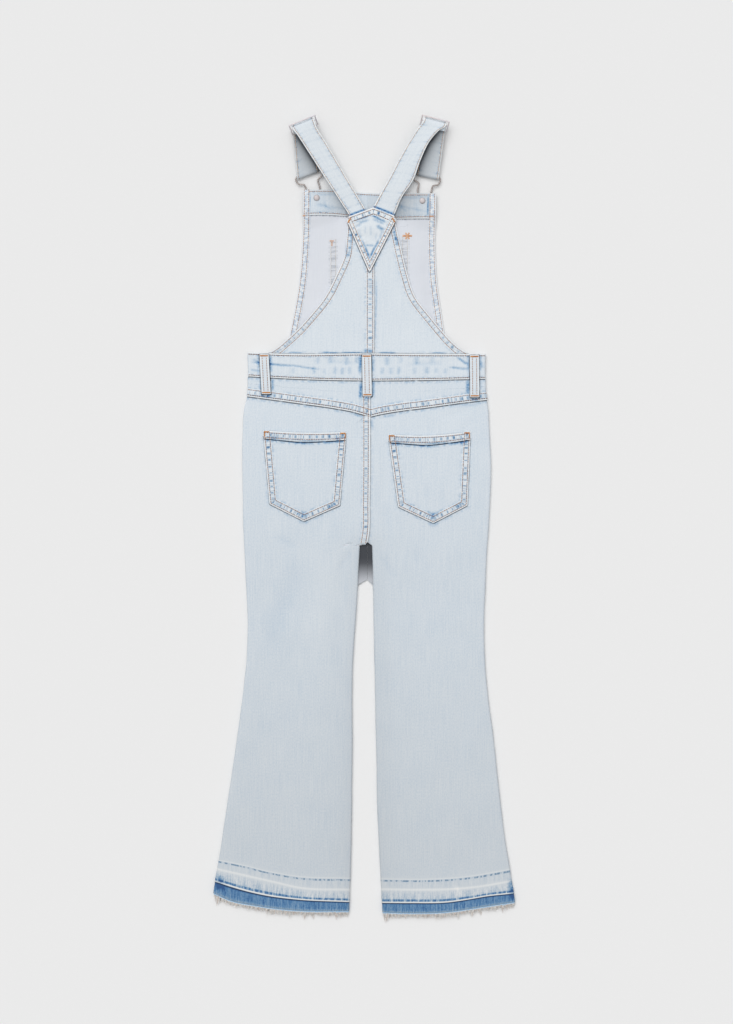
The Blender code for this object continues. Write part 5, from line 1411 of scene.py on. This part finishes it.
def back_pockets():
    edge = np.linspace(0.0, 0.12, 10)[:-1]
    us = np.concatenate([edge, np.linspace(0.12, 0.88, 52), 1 - edge[::-1]])
    vs = np.concatenate([edge, np.linspace(0.12, 0.86, 44), np.linspace(0.86, 1.0, 20)[1:]])
    for side in LEFT_RIGHT:
        def surface(u, v, plan=pocket_plan(side)):
            place = plan(u, v)
            x, y = place[..., 0], place[..., 1]
            z = back_height(x, y) + DENIM / 2 + SEAM_GAP + POCKET_WALL / 2
            return np.stack([x, y, z], axis=-1)

        def raised(u, v, points, side=side):
            hem = POCKET_HEM_RISE * ease((v - POCKET_HEM_SHARE) / 0.012)
            inside = seams["pocket_" + side].reach(points[..., 0], points[..., 1])[1]
            return np.maximum(hem, POCKET_FOLD * ease((POCKET_ALLOWANCE - inside) / 1.6))

        shell("back_pocket_" + side, surface, us, vs, thick=POCKET_WALL, raised=raised,
              near=(("pocket_" + side, 1.1),), creases="pocket",
              over=(("pocket_hem_" + side, 1.3), ("pocket_top_" + side, 1.0)),
              rests_on=["cloth_back_leg_" + side])


def belt_loops():
    for side, (top_x, top_y, low_x, low_y) in LOOPS.items():
        def surface(u, v, top_x=top_x, top_y=top_y, low_x=low_x, low_y=low_y):
            x = low_x + (top_x - low_x) * v + (u - 0.5) * LOOP_WIDTH
            y = low_y + (top_y - low_y) * v
            on_band = band_height(x, y) + BAND / 2
            on_yoke = back_height(x, y) + DENIM / 2 + FELL
            over = ease(v / 0.25)
            bed = on_yoke + (np.maximum(on_band, on_yoke) - on_yoke) * over
            stand = LOOP_STAND * over * ease((1 - v) / 0.2)
            return np.stack([x, y, bed + SEAM_GAP + stand + LOOP_WALL / 2], axis=-1)

        shell("belt_loop_" + side, surface, np.linspace(0, 1, 20), np.linspace(0, 1, 60), (DENIM_FACE,),
              thick=LOOP_WALL, near=(("loop_" + side, 0.3),), kept=-0.03, rests_on=["cloth_back_waistband"])


# ------------------------ straps
SLIDER_BAR_Z = 14.0
END_WRAP = WIRE_RADIUS + SEAM_GAP + STRAP / 2       # strap's middle round a bar
FOLD_WRAP = END_WRAP + STRAP + SEAM_GAP             # strap's middle round that wrap
CLASP_Z = END_WRAP + STRAP / 2 + 0.2
# the strap from the patch to its slider: x, y and z of its left edge, then of its right edge
STRAP_RUN = {
    "left": (
        (-20.5, 450, STRAP_ON_BACK_Z, 2.6, 461, STRAP_ON_BACK_Z),
        (-26, 461.3, 7, -3.8, 470.4, 7), (-35, 475, 8.6, -12, 484.4, 8.2),
        (-45.2, 490.7, 10.8, -21.5, 499.9, 10), (-65.2, 521, 15, -39.4, 529.9, 12.6),
        (-85, 551.5, 18, -57.3, 560, 15.4), (-98.3, 571.5, 19.2, -71, 582.4, 18.2),
    ),
    "right": (
        (4.1, 461, STRAP_ON_BACK_Z, 33, 450, STRAP_ON_BACK_Z),
        (8.8, 470.5, 7, 38.6, 461, 7), (17, 486, 8.8, 47.5, 482, 9.6),
        (31.5, 511.8, 11.2, 64.5, 508, 13.6), (45.5, 538, 13.6, 75, 536, 17.4),
        (57.7, 558.9, 15.8, 86.6, 560, 19.6), (69.5, 577.5, 17.8, 100.2, 576, 19.6),
    ),
}
CLASP_TO_BUTTON = 36.9
# middle of the slider's middle bar, and the ways the slider and the clasp point from their folds
HARDWARE = {
    "left": {"slider": (-88.5, 584.4), "slider_out": (-0.381, 0.925), "clasp_out": (0.338, -0.941)},
    "right": {"slider": (94.4, 587.0), "slider_out": (0.245, 0.97), "clasp_out": (-0.2, -0.98)},
}
STRAP_STEP = 1.3
# sections round the outer fold and round a bar, and the one where the outer fold goes into shade
FOLD_STEPS, BAR_STEPS, FOLD_SHADE_FROM = 22, 15, 14
STRAP_KEPT = -0.06          # straps are rubbed more than the rest
STRAP_PUCKER, STRAP_PUCKER_REACH = 0.45, 7.0
FOLD_SHADE = ((0.58, 7.0), (0.42, 34.0))    # under the strap's upper run: how dark, and its reach
FOLD_SHADE_LENGTH = 190.0
ABOVE_PATCH_DYE, ABOVE_PATCH_AT, ABOVE_PATCH_HALF = 0.9, 1.6, 1.3
strap_tops = {}             # side: points and normals of the strap's outer side, across then along

for side, outer_edge in (("left", slice(0, 2)), ("right", slice(3, 5))):
    seams["run_" + side] = Seam([row[outer_edge] for row in STRAP_RUN[side]])


def flat(pair, z=0.0):
    """A place or way in plan, as one in space."""
    return np.array([pair[0], pair[1], z])


def clasp_bar(side):
    """Middle of the clasp's bar."""
    return flat(BUTTONS[side], CLASP_Z) - CLASP_TO_BUTTON * flat(HARDWARE[side]["clasp_out"])


def width_way(out):
    """Unit vector along a bar, towards +x, from the way its fold points."""
    way = np.array([abs(out[1]), -out[0] * np.sign(out[1]), 0.0])
    return way / np.linalg.norm(way)


def wrap(bar, out, radius, start, end, steps):
    """Middles of a strap's sections round a bar. Angles run from straight up, outwards."""
    angles = np.radians(np.linspace(start, end, steps))
    return [bar + radius * (flat(out) * math.sin(a) + np.array([0.0, 0.0, math.cos(a)])) for a in angles]


def strap_sections(side):
    """Left and right edge points of each section, from the patch to the sewn end."""
    parts = HARDWARE[side]
    half = STRAP_WIDTH / 2
    slider, clasp = flat(parts["slider"], SLIDER_BAR_Z), clasp_bar(side)
    slider_out, clasp_out = parts["slider_out"], parts["clasp_out"]
    slider_way, clasp_way = width_way(slider_out), width_way(clasp_out)
    sections = [(np.array(row[:3]), np.array(row[3:])) for row in STRAP_RUN[side]]

    def put(middles, way):
        sections.extend((middle - way * half, middle + way * half) for middle in middles)

    def bridge(start, end, way_start, way_end, bows):
        for share, bow in bows:
            way = way_start + (way_end - way_start) * share
            put([start + (end - start) * share + np.array([0.0, 0.0, bow])], way / np.linalg.norm(way))

    fold = wrap(slider, slider_out, FOLD_WRAP, 0, 180, FOLD_STEPS)
    clasp_fold = wrap(clasp, clasp_out, END_WRAP, 180, 0, BAR_STEPS)
    end_fold = wrap(slider, slider_out, END_WRAP, 180, 0, BAR_STEPS)
    put(fold, slider_way)
    bridge(fold[-1], clasp_fold[0], slider_way, clasp_way, ((0.12, 0.7), (0.5, 0.9), (0.88, 0.1)))
    put(clasp_fold, clasp_way)
    bridge(clasp_fold[-1], end_fold[0], clasp_way, slider_way, ((0.12, 0.0), (0.5, 0.3), (0.88, 0.2)))
    put(end_fold, slider_way)
    put([end_fold[-1] - 8.0 * flat(slider_out)], slider_way)
    return sections


def straps():
    u = np.concatenate([[0.0, 0.02, 0.05, 0.09], np.linspace(0.14, 0.86, 15), [0.91, 0.95, 0.98, 1.0]])
    for side in LEFT_RIGHT:
        edges = np.array(strap_sections(side))
        stops = lengths_along(edges.mean(axis=1))
        dense = np.linspace(0.0, stops[-1], int(stops[-1] / STRAP_STEP))
        rows = np.concatenate([stops[:, None], edges.reshape(len(edges), 6)], axis=1)
        smooth = np.stack([curve(rows, column)(dense) for column in range(1, 7)], axis=1)
        left, right = smooth[:, :3], smooth[:, 3:]
        points = left[None] + u[:, None, None] * (right - left)[None]
        normal = np.cross(right - left, np.gradient((left + right) / 2, axis=0))
        normal = np.broadcast_to(normal / np.linalg.norm(normal, axis=1, keepdims=True), points.shape)
        along = np.broadcast_to(dense, points.shape[:2])
        width = np.linalg.norm(right - left, axis=1)
        across = np.minimum(u, 1 - u)[:, None] * width[None]
        height = STRAP_PUCKER * puckers("strap_" + side, along, across) * np.exp(-across / STRAP_PUCKER_REACH)
        thick = STRAP / 2 * (1 - 0.45 * np.exp(-across / 0.5))      # its edges are pressed thinner
        outer = points + normal * (thick + height)[..., None]
        inner = points - normal * (thick - height)[..., None]
        piece = wall("cloth_strap_" + side, outer, inner, (DENIM_FACE,))

        x, y = points[..., 0], points[..., 1]
        # the straps' pattern lies above the reach of the painted light falloff
        place = np.stack([u[:, None] * width[None], along + FALLOFF_TOP_Y, 0 * along], axis=-1)
        seam = np.stack([along, seam_place("strap", across), 0.8 + 0 * along], axis=-1)
        # the doubled part lies in the shade of the run above it
        away = np.abs(seams["run_" + side].reach(x, y)[1])
        folded = along - stops[len(STRAP_RUN[side]) + FOLD_SHADE_FROM]
        shade = sum(dark * np.exp(-away / reach) for dark, reach in FOLD_SHADE)
        shade = shade * ease(folded / 6.0) * ease((FOLD_SHADE_LENGTH - folded) / 60.0)
        above_patch = seams["patch_top"].reach(x, y)[1] + ABOVE_PATCH_AT
        stain = ABOVE_PATCH_DYE * bump(above_patch, ABOVE_PATCH_HALF) * (along < 60.0)
        kept = STRAP_KEPT + np.maximum(-height, 0.0) + stain
        paint(piece, place, seam, 0 * seam, FAR_FROM_HEM + 0 * along, kept, (shade, shade))
        stand_for("strap_" + side, "denim")
        strap_tops[side] = (u, dense, outer, normal)


# ------------------------ metal
# half of the clasp's wire: half width, distance from the strap's bar
CLASP_HALF = (
    (0, 0), (16.6, 0), (18.3, 1.7), (18, 7.5), (16.4, 10.6), (12.8, 11.8), (10.2, 13.4),
    (9.6, 18), (9.4, 24), (7.4, 28.6), (4.8, 32.4), (4.3, 36.5), (3.2, 39.8), (0, 41.2),
)
NECK_TOP = BUTTON_LIFT - SEAM_GAP
TACK_LOW = BUTTON_LIFT + DENIM + ON_DENIM + SEAM_GAP
TACK_RADIUS = 4.2
# radius and height, from the bottom up
BUTTON_PROFILE = (
    (0.0, 0.0), (BUTTON_RADIUS - 3.2, 0.05), (BUTTON_RADIUS - 1.6, 0.1), (BUTTON_RADIUS - 0.6, 0.4),
    (BUTTON_RADIUS, 0.9), (BUTTON_RADIUS, 1.7), (BUTTON_RADIUS - 0.4, BUTTON_HEAD),
    (NECK_RADIUS + 0.4, BUTTON_HEAD), (NECK_RADIUS, NECK_TOP), (0.0, NECK_TOP),
)
TACK_PROFILE = (
    (0.0, TACK_LOW), (TACK_RADIUS, TACK_LOW), (TACK_RADIUS, TACK_LOW + 0.5),
    (TACK_RADIUS - 0.5, TACK_LOW + 1.0), (TACK_RADIUS - 1.4, TACK_LOW + 1.3), (1.2, TACK_LOW + 1.45),
    (0.0, TACK_LOW + 1.5),
)


def rings(middles, across, up, radius, sides):
    """Rings of points round the middles of a tube, in the planes of across and up."""
    angle = (2 * math.pi * np.arange(sides) / sides)[:, None]
    return middles[..., None, :] + radius * (across[..., None, :] * np.cos(angle)
                                             + up[..., None, :] * np.sin(angle))


def tube_faces(count, sides, closed=False):
    """Quads between a tube's rings, as rows of four indices."""
    ring, k = np.meshgrid(np.arange(count if closed else count - 1), np.arange(sides), indexing="ij")
    start, after, m = ring * sides, (ring + 1) % count * sides, (k + 1) % sides
    return np.stack([start + k, start + m, after + m, after + k], axis=-1).reshape(-1, 4)


def level_frame(way):
    """Unit vectors across and above ways that are nearly level."""
    across = np.cross(way, [0.0, 0.0, 1.0])
    across /= np.maximum(np.linalg.norm(across, axis=1, keepdims=True), 1e-6)
    up = np.cross(across, way)
    return across, up / np.maximum(np.linalg.norm(up, axis=1, keepdims=True), 1e-6)


def wire(name, path, radius, finish, sides=14):
    """A closed wire along a closed path that lies nearly level."""
    path = np.array(path)
    frame = level_frame(np.roll(path, -1, axis=0) - np.roll(path, 1, axis=0))
    vertices = rings(path, *frame, radius, sides).reshape(-1, 3)
    piece = build("wire_" + name, vertices, tube_faces(len(path), sides, closed=True).tolist(), (finish,))
    stand_for(name, "nickel")


def clasps():
    half = np.array(CLASP_HALF)
    lengths = lengths_along(half)
    stops = np.linspace(0.0, lengths[-1], 90)
    width, reach = [curve(list(zip(lengths, half[:, column])))(stops) for column in (0, 1)]
    halves = list(zip(width, reach))
    outline = halves + [(-w, r) for w, r in reversed(halves[1:-1])]
    for side, parts in HARDWARE.items():
        way, out = width_way(parts["clasp_out"]), flat(parts["clasp_out"])
        bar = clasp_bar(side)
        wire("clasp_" + side, [bar + way * w + out * r for w, r in outline], WIRE_RADIUS, DARKENED_WIRE_NICKEL)


def turned(name, place, rows, finish, sides=40):
    """A solid turned about a vertical line, from (radius, height) rows, bottom to top."""
    inner = rows[1:-1]
    angle = 2 * math.pi * np.arange(sides) / sides
    vertices = [flat(place, rows[0][1])]
    for radius, height in inner:
        vertices += [flat((place[0] + radius * math.cos(a), place[1] + radius * math.sin(a)), height)
                     for a in angle]
    vertices.append(flat(place, rows[-1][1]))
    last, top = len(vertices) - 1, 1 + (len(inner) - 1) * sides
    foot = [[0, 1 + (k + 1) % sides, 1 + k] for k in range(sides)]
    head = [[top + k, top + (k + 1) % sides, last] for k in range(sides)]
    faces = foot + (1 + tube_faces(len(inner), sides)).tolist() + head
    piece = build("turned_" + name, vertices, faces, (finish,), sharp=35)
    stand_for(name, "nickel")


def buttons():
    for side, place in BUTTONS.items():
        turned("button_" + side, place, BUTTON_PROFILE, NICKEL)
        turned("button_tack_" + side, place, TACK_PROFILE, TACK_NICKEL)


def sliders():
    """The slider frames stay the solids' own, in a satin finish."""
    for side in LEFT_RIGHT:
        for slot in bpy.data.objects["slider_" + side].material_slots:
            slot.material = SATIN_NICKEL


# ------------------------ sewing
STITCH_PITCH, STITCH_LENGTH, THREAD, HEAVY_THREAD = 3.2, 2.8, 0.8, 1.15
# share along a stitch, radius share, height share: its ends dive into the cloth
STITCH_RINGS = ((-0.5, 0.5, -0.5), (-0.36, 0.9, 0.05), (0.0, 1.0, 0.35), (0.36, 0.9, 0.05), (0.5, 0.5, -0.5))
STITCH_SIDES = 6
TACK_PITCH, TACK_WIDTH = 0.55, 2.0
TACK_SLANT = 0.15
# bar tacks: x, y, angle of the bar, its length and its width
BIB_TACKS = (
    (-49, 424, 0, 6, 1.4), (-49, 420, 90, 6, 1.4),
    (56.5, 431, 0, 13, 2.8), (56.5, 431, 60, 9.5, 2.2), (56.5, 431, 120, 9.5, 2.2),
    (-89, 459, 0, 5, TACK_WIDTH), (90, 458, 0, 5, TACK_WIDTH),
)
PATCH_TACKS = ((-24.6, 452, 60, 7, TACK_WIDTH), (37, 452.5, 120, 7, TACK_WIDTH))
# the same from a pocket's corner, inwards and down
POCKET_TACKS = ((4.6, -1.6, 0.0, 7.0, 1.7), (1.4, -5.0, 90.0, 6.0, 1.3))


def stitch_mesh(name, places, ways, ups, finish, length=STITCH_LENGTH, thick=THREAD):
    """One mesh of short thread loops, each at a place, along a way, with its top side up."""
    sides = np.cross(ups, ways)
    sides /= np.linalg.norm(sides, axis=1, keepdims=True)
    ways = np.cross(sides, ups)
    length = np.broadcast_to(length, len(places))
    vertices = np.stack([rings(places + ways * (along * length)[:, None] + ups * height * thick / 2,
                               sides, ups, thick / 2 * radius, STITCH_SIDES)
                         for along, radius, height in STITCH_RINGS], axis=1)
    start = len(STITCH_RINGS) * STITCH_SIDES * np.arange(len(places))
    faces = (tube_faces(len(STITCH_RINGS), STITCH_SIDES) + start[:, None, None]).reshape(-1, 4)
    piece = build(name, vertices.reshape(-1, 3), faces.tolist(), (finish,))


def bed(nodes):
    """A tree of the cloth faces that stitches can lie on."""
    vertices, faces = [], []
    for node in nodes:
        mesh = made[node].data
        start = len(vertices)
        vertices += [Vector(vertex.co) / MM for vertex in mesh.vertices]
        faces += [[start + index for index in face.vertices] for face in mesh.polygons]
    return BVHTree.FromPolygons(vertices, faces)


def on_cloth(tree, plan, below=False):
    """Points and normals where plan places meet the cloth, from above or from below."""
    start, way = (-5.0, Vector((0, 0, 1))) if below else (60.0, Vector((0, 0, -1)))
    found, normals, kept = [], [], []
    for index, (x, y) in enumerate(plan):
        hit, normal, _, _ = tree.ray_cast(Vector((x + LAID[0], y + LAID[1], start)), way)
        if hit is not None:
            found.append(np.array(hit) - LAID)
            normals.append(np.array(normal) * (-1 if normal.dot(way) > 0 else 1))
            kept.append(index)
    return np.array(found), np.array(normals), np.array(kept, dtype=int)


def level(ways):
    """Ways in plan as ways in space."""
    return np.concatenate([ways, np.zeros((len(ways), 1))], axis=1)


def sew_rows(name, nodes, rows, finish=TAN_THREAD, below=False):
    """Rows of top stitching along plan lines, on the uppermost of some pieces."""
    rng = np.random.default_rng(len(name))
    plan, ways = [], []
    for line, start, end in rows:
        end = line.lengths[-1] + end if end <= 0 else end
        count = max(int((end - start) / STITCH_PITCH), 1)
        places = start + (np.arange(count) + 0.5) * (end - start) / count
        point, way = line.at(places + rng.uniform(-0.12, 0.12, count))
        plan.append(point)
        ways.append(way)
    places, ups, kept = on_cloth(bed(nodes), np.concatenate(plan), below)
    stitch_mesh("stitches_" + name, places, level(np.concatenate(ways)[kept]), ups, finish,
                STITCH_LENGTH * rng.uniform(0.9, 1.05, len(places)),
                HEAVY_THREAD if finish == BROWN_THREAD else THREAD)


def tack_bars(name, nodes, bars, finish=ORANGE_THREAD):
    """Bar tacks: x, y, angle of the bar, its length and its width."""
    plan, ways, lengths = [], [], []
    for x, y, angle, length, width in bars:
        angle = math.radians(angle)
        along = np.array([math.cos(angle), math.sin(angle)])
        over = np.array([-along[1], along[0]])
        for place in np.arange(-length / 2, length / 2, TACK_PITCH):
            plan.append(np.array([x, y]) + along * place)
            ways.append(over + along * TACK_SLANT)
            lengths.append(width)
    places, ups, kept = on_cloth(bed(nodes), plan)
    stitch_mesh("bartacks_" + name, places + ups * 0.1, level(np.array(ways)[kept]), ups, finish,
                np.array(lengths)[kept])


def loop_rows(side):
    """The two long rows of a belt loop."""
    line = seams["loop_" + side].moved(ROWS["loop_" + side][0])
    first, second, third = line.lengths[1:4]
    return [(line, 1.0, first - 1.0), (line, second + 1.0, third - 1.0)]


def strap_stitches(side):
    u, dense, outer, normal = strap_tops[side]
    count = int(dense[-1] / STITCH_PITCH)
    stops = (np.arange(count) + 0.5) * dense[-1] / count
    inset = ROWS["strap"][0] / STRAP_WIDTH
    places, ways = [], []
    for share in (inset, 1 - inset):
        row = np.stack([read_at(share, u, outer[:, place]) for place in range(outer.shape[1])])
        point, ahead = read_at(stops, dense, row), read_at(stops + 0.8, dense, row)
        places.append(point)
        ways.append((ahead - point) / np.linalg.norm(ahead - point, axis=1, keepdims=True))
    ups = np.tile(read_at(stops, dense, normal[0]), (2, 1))
    stitch_mesh("stitches_strap_" + side, np.concatenate(places), np.concatenate(ways), ups, SAND_THREAD)


def sewing():
    def rows(name, start=0.0, end=0.0):
        return [(seams[name].moved(inset), start, end) for inset in ROWS[name]]

    for side in LEFT_RIGHT:
        sew_rows("yoke_" + side, ["back_yoke_" + side], rows("yoke")[1:])
        sew_rows("yoke_edge_" + side, ["back_yoke_" + side], rows("yoke")[:1], BROWN_THREAD)
        sew_rows("pocket_" + side, ["back_pocket_" + side],
                 rows("pocket_" + side, 2.0, -2.0) + rows("pocket_top_" + side, 1.0, -1.0))
        sew_rows("armhole_" + side, ["upper_back_" + side], rows("armhole_" + side))
        sew_rows("bib_hem_" + side, ["bib"], rows("bib_" + side))
    for side in LOOPS:
        sew_rows("loop_" + side, ["belt_loop_" + side], loop_rows(side))
    sew_rows("seat", ["back_leg_left", "back_yoke_left"], rows("seat"))
    band = rows("band_low") + rows("band_top")
    sew_rows("waistband", ["back_waistband"], band, BROWN_THREAD)
    sew_rows("waistband_front", ["front_waistband"], band, BROWN_THREAD, below=True)
    sew_rows("centre_back", ["upper_back_left"], rows("centre_back"))
    sew_rows("patch", ["strap_patch"], rows("patch_sides") + rows("patch_top")[:1])
    sew_rows("patch_top", ["strap_patch"], rows("patch_top", 7.0, -7.0)[1:], BROWN_THREAD)
    sew_rows("bib_top", ["bib_facing"], rows("bib_top", 8.0, -8.0) + rows("facing_low", 10.0, -10.0))
    sew_rows("bib_pocket_inside", ["bib"], rows("bib_pocket"), CREAM_THREAD)
    sew_rows("bib_pocket", ["bib_pocket"], rows("bib_pocket"), below=True)

    tack_bars("loops", ["belt_loop_" + side for side in LOOPS], [
        (x, y, 0.0, LOOP_WIDTH - 2.0, TACK_WIDTH) for top_x, top_y, low_x, low_y in LOOPS.values()
        for x, y in ((top_x, top_y - 2.0), (low_x, low_y + 2.0))])
    for side, corner in POCKETS.items():
        tack_bars("pocket_" + side, ["back_pocket_" + side], [
            (x + inward * in_x, y + down_y, *bar)
            for (x, y), inward in ((corner["top_left"], 1), (corner["top_right"], -1))
            for in_x, down_y, *bar in POCKET_TACKS])
    tack_bars("bib", ["bib", "bib_facing"], BIB_TACKS, APRICOT_THREAD)
    tack_bars("patch", ["strap_patch"], PATCH_TACKS)
    for side in LEFT_RIGHT:
        strap_stitches(side)


# ------------------------ ravelled hems
FRAY_STRIP, FRAY_WALL = 2.0, 0.9
# hem: locks across it, yarns in each lock, drop of their tips
FRAY = {"back": (36, 22, 1.4), "front": (28, 14, 0.1)}
# the strip's rows: share of its depth, of its thickness, and of the way out
STRIP_ROWS = ((0.0, 1.0, 0.0), (0.5, 0.9, 0.15), (1.0, 0.4, 0.3))
STRIP_SIDES = ((0, 2), (2, 4), (3, 1), (5, 3), (1, 0), (4, 5))      # pairs of rows with faces between
YARN_RADIUS, YARN_TIP = 0.26, 0.45
YARN_RINGS, YARN_SIDES = 6, 3
DOWN = np.array([0.0, -1.0, 0.0])


def hem_strip(base, up, loose):
    """The strip of loosened weave along a raw hem: its points, faces, way out and tone."""
    count = len(base)
    ragged = FRAY_STRIP * (1 + 0.35 * loose.uniform(-1, 1, count))
    points, out, tone = [], [], []
    for depth, thin, share in STRIP_ROWS:
        middle = base + DOWN * (SEAM_GAP + depth * ragged)[:, None]
        for face in (1, -1):
            points.append(middle + up * face * thin * FRAY_WALL / 2)
            out.append(np.full(count, share))
            tone.append(loose.uniform(0.0, 0.5, count))
    i = np.arange(count - 1)
    faces = [np.stack([upper + i, lower + i, lower + i + 1, upper + i + 1], axis=1)
             for upper, lower in count * np.array(STRIP_SIDES)]
    return points, faces, out, tone


def yarn(root, up, aside, reach, droop, loose):
    """Middles of a loose yarn's rings, from its root in the strip to its tip."""
    wobble = loose.uniform(-0.35, 0.35, (YARN_RINGS, 3))
    start = loose.uniform(0.2, FRAY_STRIP)
    middles = []
    for share, sway in zip(np.linspace(0.0, 1.0, YARN_RINGS), wobble):
        drop = start + share * (reach + FRAY_STRIP - start)
        spot = (root + DOWN * (SEAM_GAP + drop) + np.array([aside * share ** 0.8, 0.0, 0.0])
                + sway * share + up * loose.uniform(-0.35, 0.45) * (1 - share))
        spot[2] = max(spot[2] - droop * reach / 5.0 * share ** 2, YARN_RADIUS + 0.05)
        middles.append(spot)
    return np.array(middles)


def fray(layer, side, surface):
    """A ravelled edge: a strip of loosened weave, and yarns drawn together into locks."""
    count, number, droop = FRAY[layer]
    rng = np.random.default_rng(len(layer) + count)
    loose = np.random.default_rng(len(layer) + count + 100)
    dense = np.linspace(0.0, 1.0, 400)
    edge, normal = sample(surface, dense, np.zeros_like(dense))
    normal = normal * np.sign(np.mean(normal[:, 2]))
    lengths = lengths_along(edge)
    stops = np.linspace(0.4, lengths[-1] - 0.4, count + 1)
    steps = np.linspace(stops[0], stops[-1], 420)
    points, faces, out, tone = hem_strip(read_at(steps, lengths, edge), read_at(steps, lengths, normal),
                                         loose)
    start = len(points) * len(steps)
    yarn_faces = tube_faces(YARN_RINGS, YARN_SIDES)
    radius = YARN_RADIUS * np.linspace(1.0, YARN_TIP, YARN_RINGS)[:, None, None]
    for first, last in zip(stops, stops[1:]):
        length, lean = rng.uniform(3.2, 7.8), rng.uniform(-1.8, 1.8)
        tuft = 1.0 + 0.6 * (loose.uniform() > 0.7)
        roots = loose.uniform(first, last, number)
        reaches = length * tuft * (0.3 + 0.85 * loose.uniform(0.0, 1.0, number) ** 1.6)
        pulls = loose.uniform(0.15, 0.8, number)
        tones = loose.uniform(0.0, 1.0, number)
        for root, reach, pull, colour in zip(roots, reaches, pulls, tones):
            aside = ((first + last) / 2 - root) * pull + lean * reach / length
            middles = yarn(read_at(root, lengths, edge), read_at(root, lengths, normal), aside, reach,
                           droop, loose)
            frame = level_frame(np.gradient(middles, axis=0))
            points.append(rings(middles, *frame, radius, YARN_SIDES).reshape(-1, 3))
            faces.append(start + yarn_faces)
            out.append(np.repeat(np.linspace(0.1, 1.0, YARN_RINGS), YARN_SIDES))
            tone.append(np.full(YARN_RINGS * YARN_SIDES, colour))
            start += YARN_RINGS * YARN_SIDES
    piece = build("yarns_%s_%s" % (layer, side), np.concatenate(points),
                  np.concatenate(faces).tolist(), (YARN,))
    for name, values in (("out", out), ("tone", tone)):
        attribute = piece.data.attributes.new(name, "FLOAT", "POINT")
        attribute.data.foreach_set("value", np.concatenate(values).astype(np.float32))
    stand_for("fray_%s_%s" % (layer, side), "raw_hem")


def ravelled_hems():
    for layer, height, fork_y in (("back", back_height, 0.0), ("front", front_height, FRONT_FORK_Y)):
        for side in LEFT_RIGHT:
            fray(layer, side, leg_surface(side, fork_y, yoke_seam, height))


# ------------------------ studio
VIEW_AT = (3.1, 7.9)        # in the row frame
VIEW_DISTANCE, VIEW_HALF_HEIGHT = 3500.0, 716.8
SENSOR_HEIGHT = 24.0
SKY_AT_HORIZON, SKY_OVERHEAD = 0.2, 0.65
SUN_STRENGTH, SUN_SPREAD, SUN_WAY = 1.64, 50, (0.18, -0.42, -0.89)
FLOOR_HALF, FLOOR_Z = 4.0, -0.0008      # metres; the front's stitches reach 0.7 mm below the cloth


def studio():
    """A pale paper floor under a large soft light from the left, and a camera straight above."""
    finish, shader, node, link = new_material("paper_floor")
    grain = node("TexNoise", {0: node("NewGeometry", out="Position"), "Scale": 900.0, "Detail": 2.0})
    link(node("ValToRGB", (grain,), stops=((0.3, "EDEDED"), (0.7, "EFEFEF"))), shader.inputs["Base Color"])
    shader.inputs["Roughness"].default_value = 0.95
    shader.inputs["Specular IOR Level"].default_value = 0.0
    mesh = bpy.data.meshes.new("floor")
    mesh.from_pydata([(x * FLOOR_HALF, y * FLOOR_HALF, FLOOR_Z)
                      for x, y in ((-1, -1), (1, -1), (1, 1), (-1, 1))], [], [[0, 1, 2, 3]])
    mesh.materials.append(finish)
    floor = bpy.data.objects.new("floor", mesh)
    bpy.context.collection.objects.link(floor)

    world = bpy.data.worlds.new("studio")
    world.use_nodes = True
    sky = world.node_tree.nodes["Background"]
    height = add(world.node_tree, "SeparateXYZ", (add(world.node_tree, "TexCoord"),), out="Z")
    strength = add(world.node_tree, "MapRange", {0: height, "To Min": SKY_AT_HORIZON,
                                                 "To Max": SKY_OVERHEAD})
    world.node_tree.links.new(strength, sky.inputs["Strength"])
    sky.inputs["Color"].default_value = srgb("FFFFFF")
    bpy.context.scene.world = world

    lamp = bpy.data.lights.new("softbox", "SUN")
    lamp.energy, lamp.angle = SUN_STRENGTH, math.radians(SUN_SPREAD)
    softbox = bpy.data.objects.new("softbox", lamp)
    softbox.rotation_euler = Vector(SUN_WAY).to_track_quat("-Z", "Y").to_euler()
    bpy.context.collection.objects.link(softbox)

    lens = bpy.data.cameras.new("camera")
    lens.sensor_fit, lens.sensor_height = "VERTICAL", SENSOR_HEIGHT
    lens.lens = SENSOR_HEIGHT / 2 * VIEW_DISTANCE / VIEW_HALF_HEIGHT
    camera = bpy.data.objects.new("camera", lens)
    camera.location = (VIEW_AT[0] * MM, VIEW_AT[1] * MM, VIEW_DISTANCE * MM)
    bpy.context.collection.objects.link(camera)
    bpy.context.scene.camera = camera
    bpy.context.scene.view_settings.view_transform = "Standard"


for make in (studio, front_legs, back_legs, back_yokes, waistbands, bib_pieces, bib_pocket,
             upper_backs, strap_patch, back_pockets, belt_loops, straps, clasps, buttons, sliders,
             sewing, ravelled_hems):
    make()
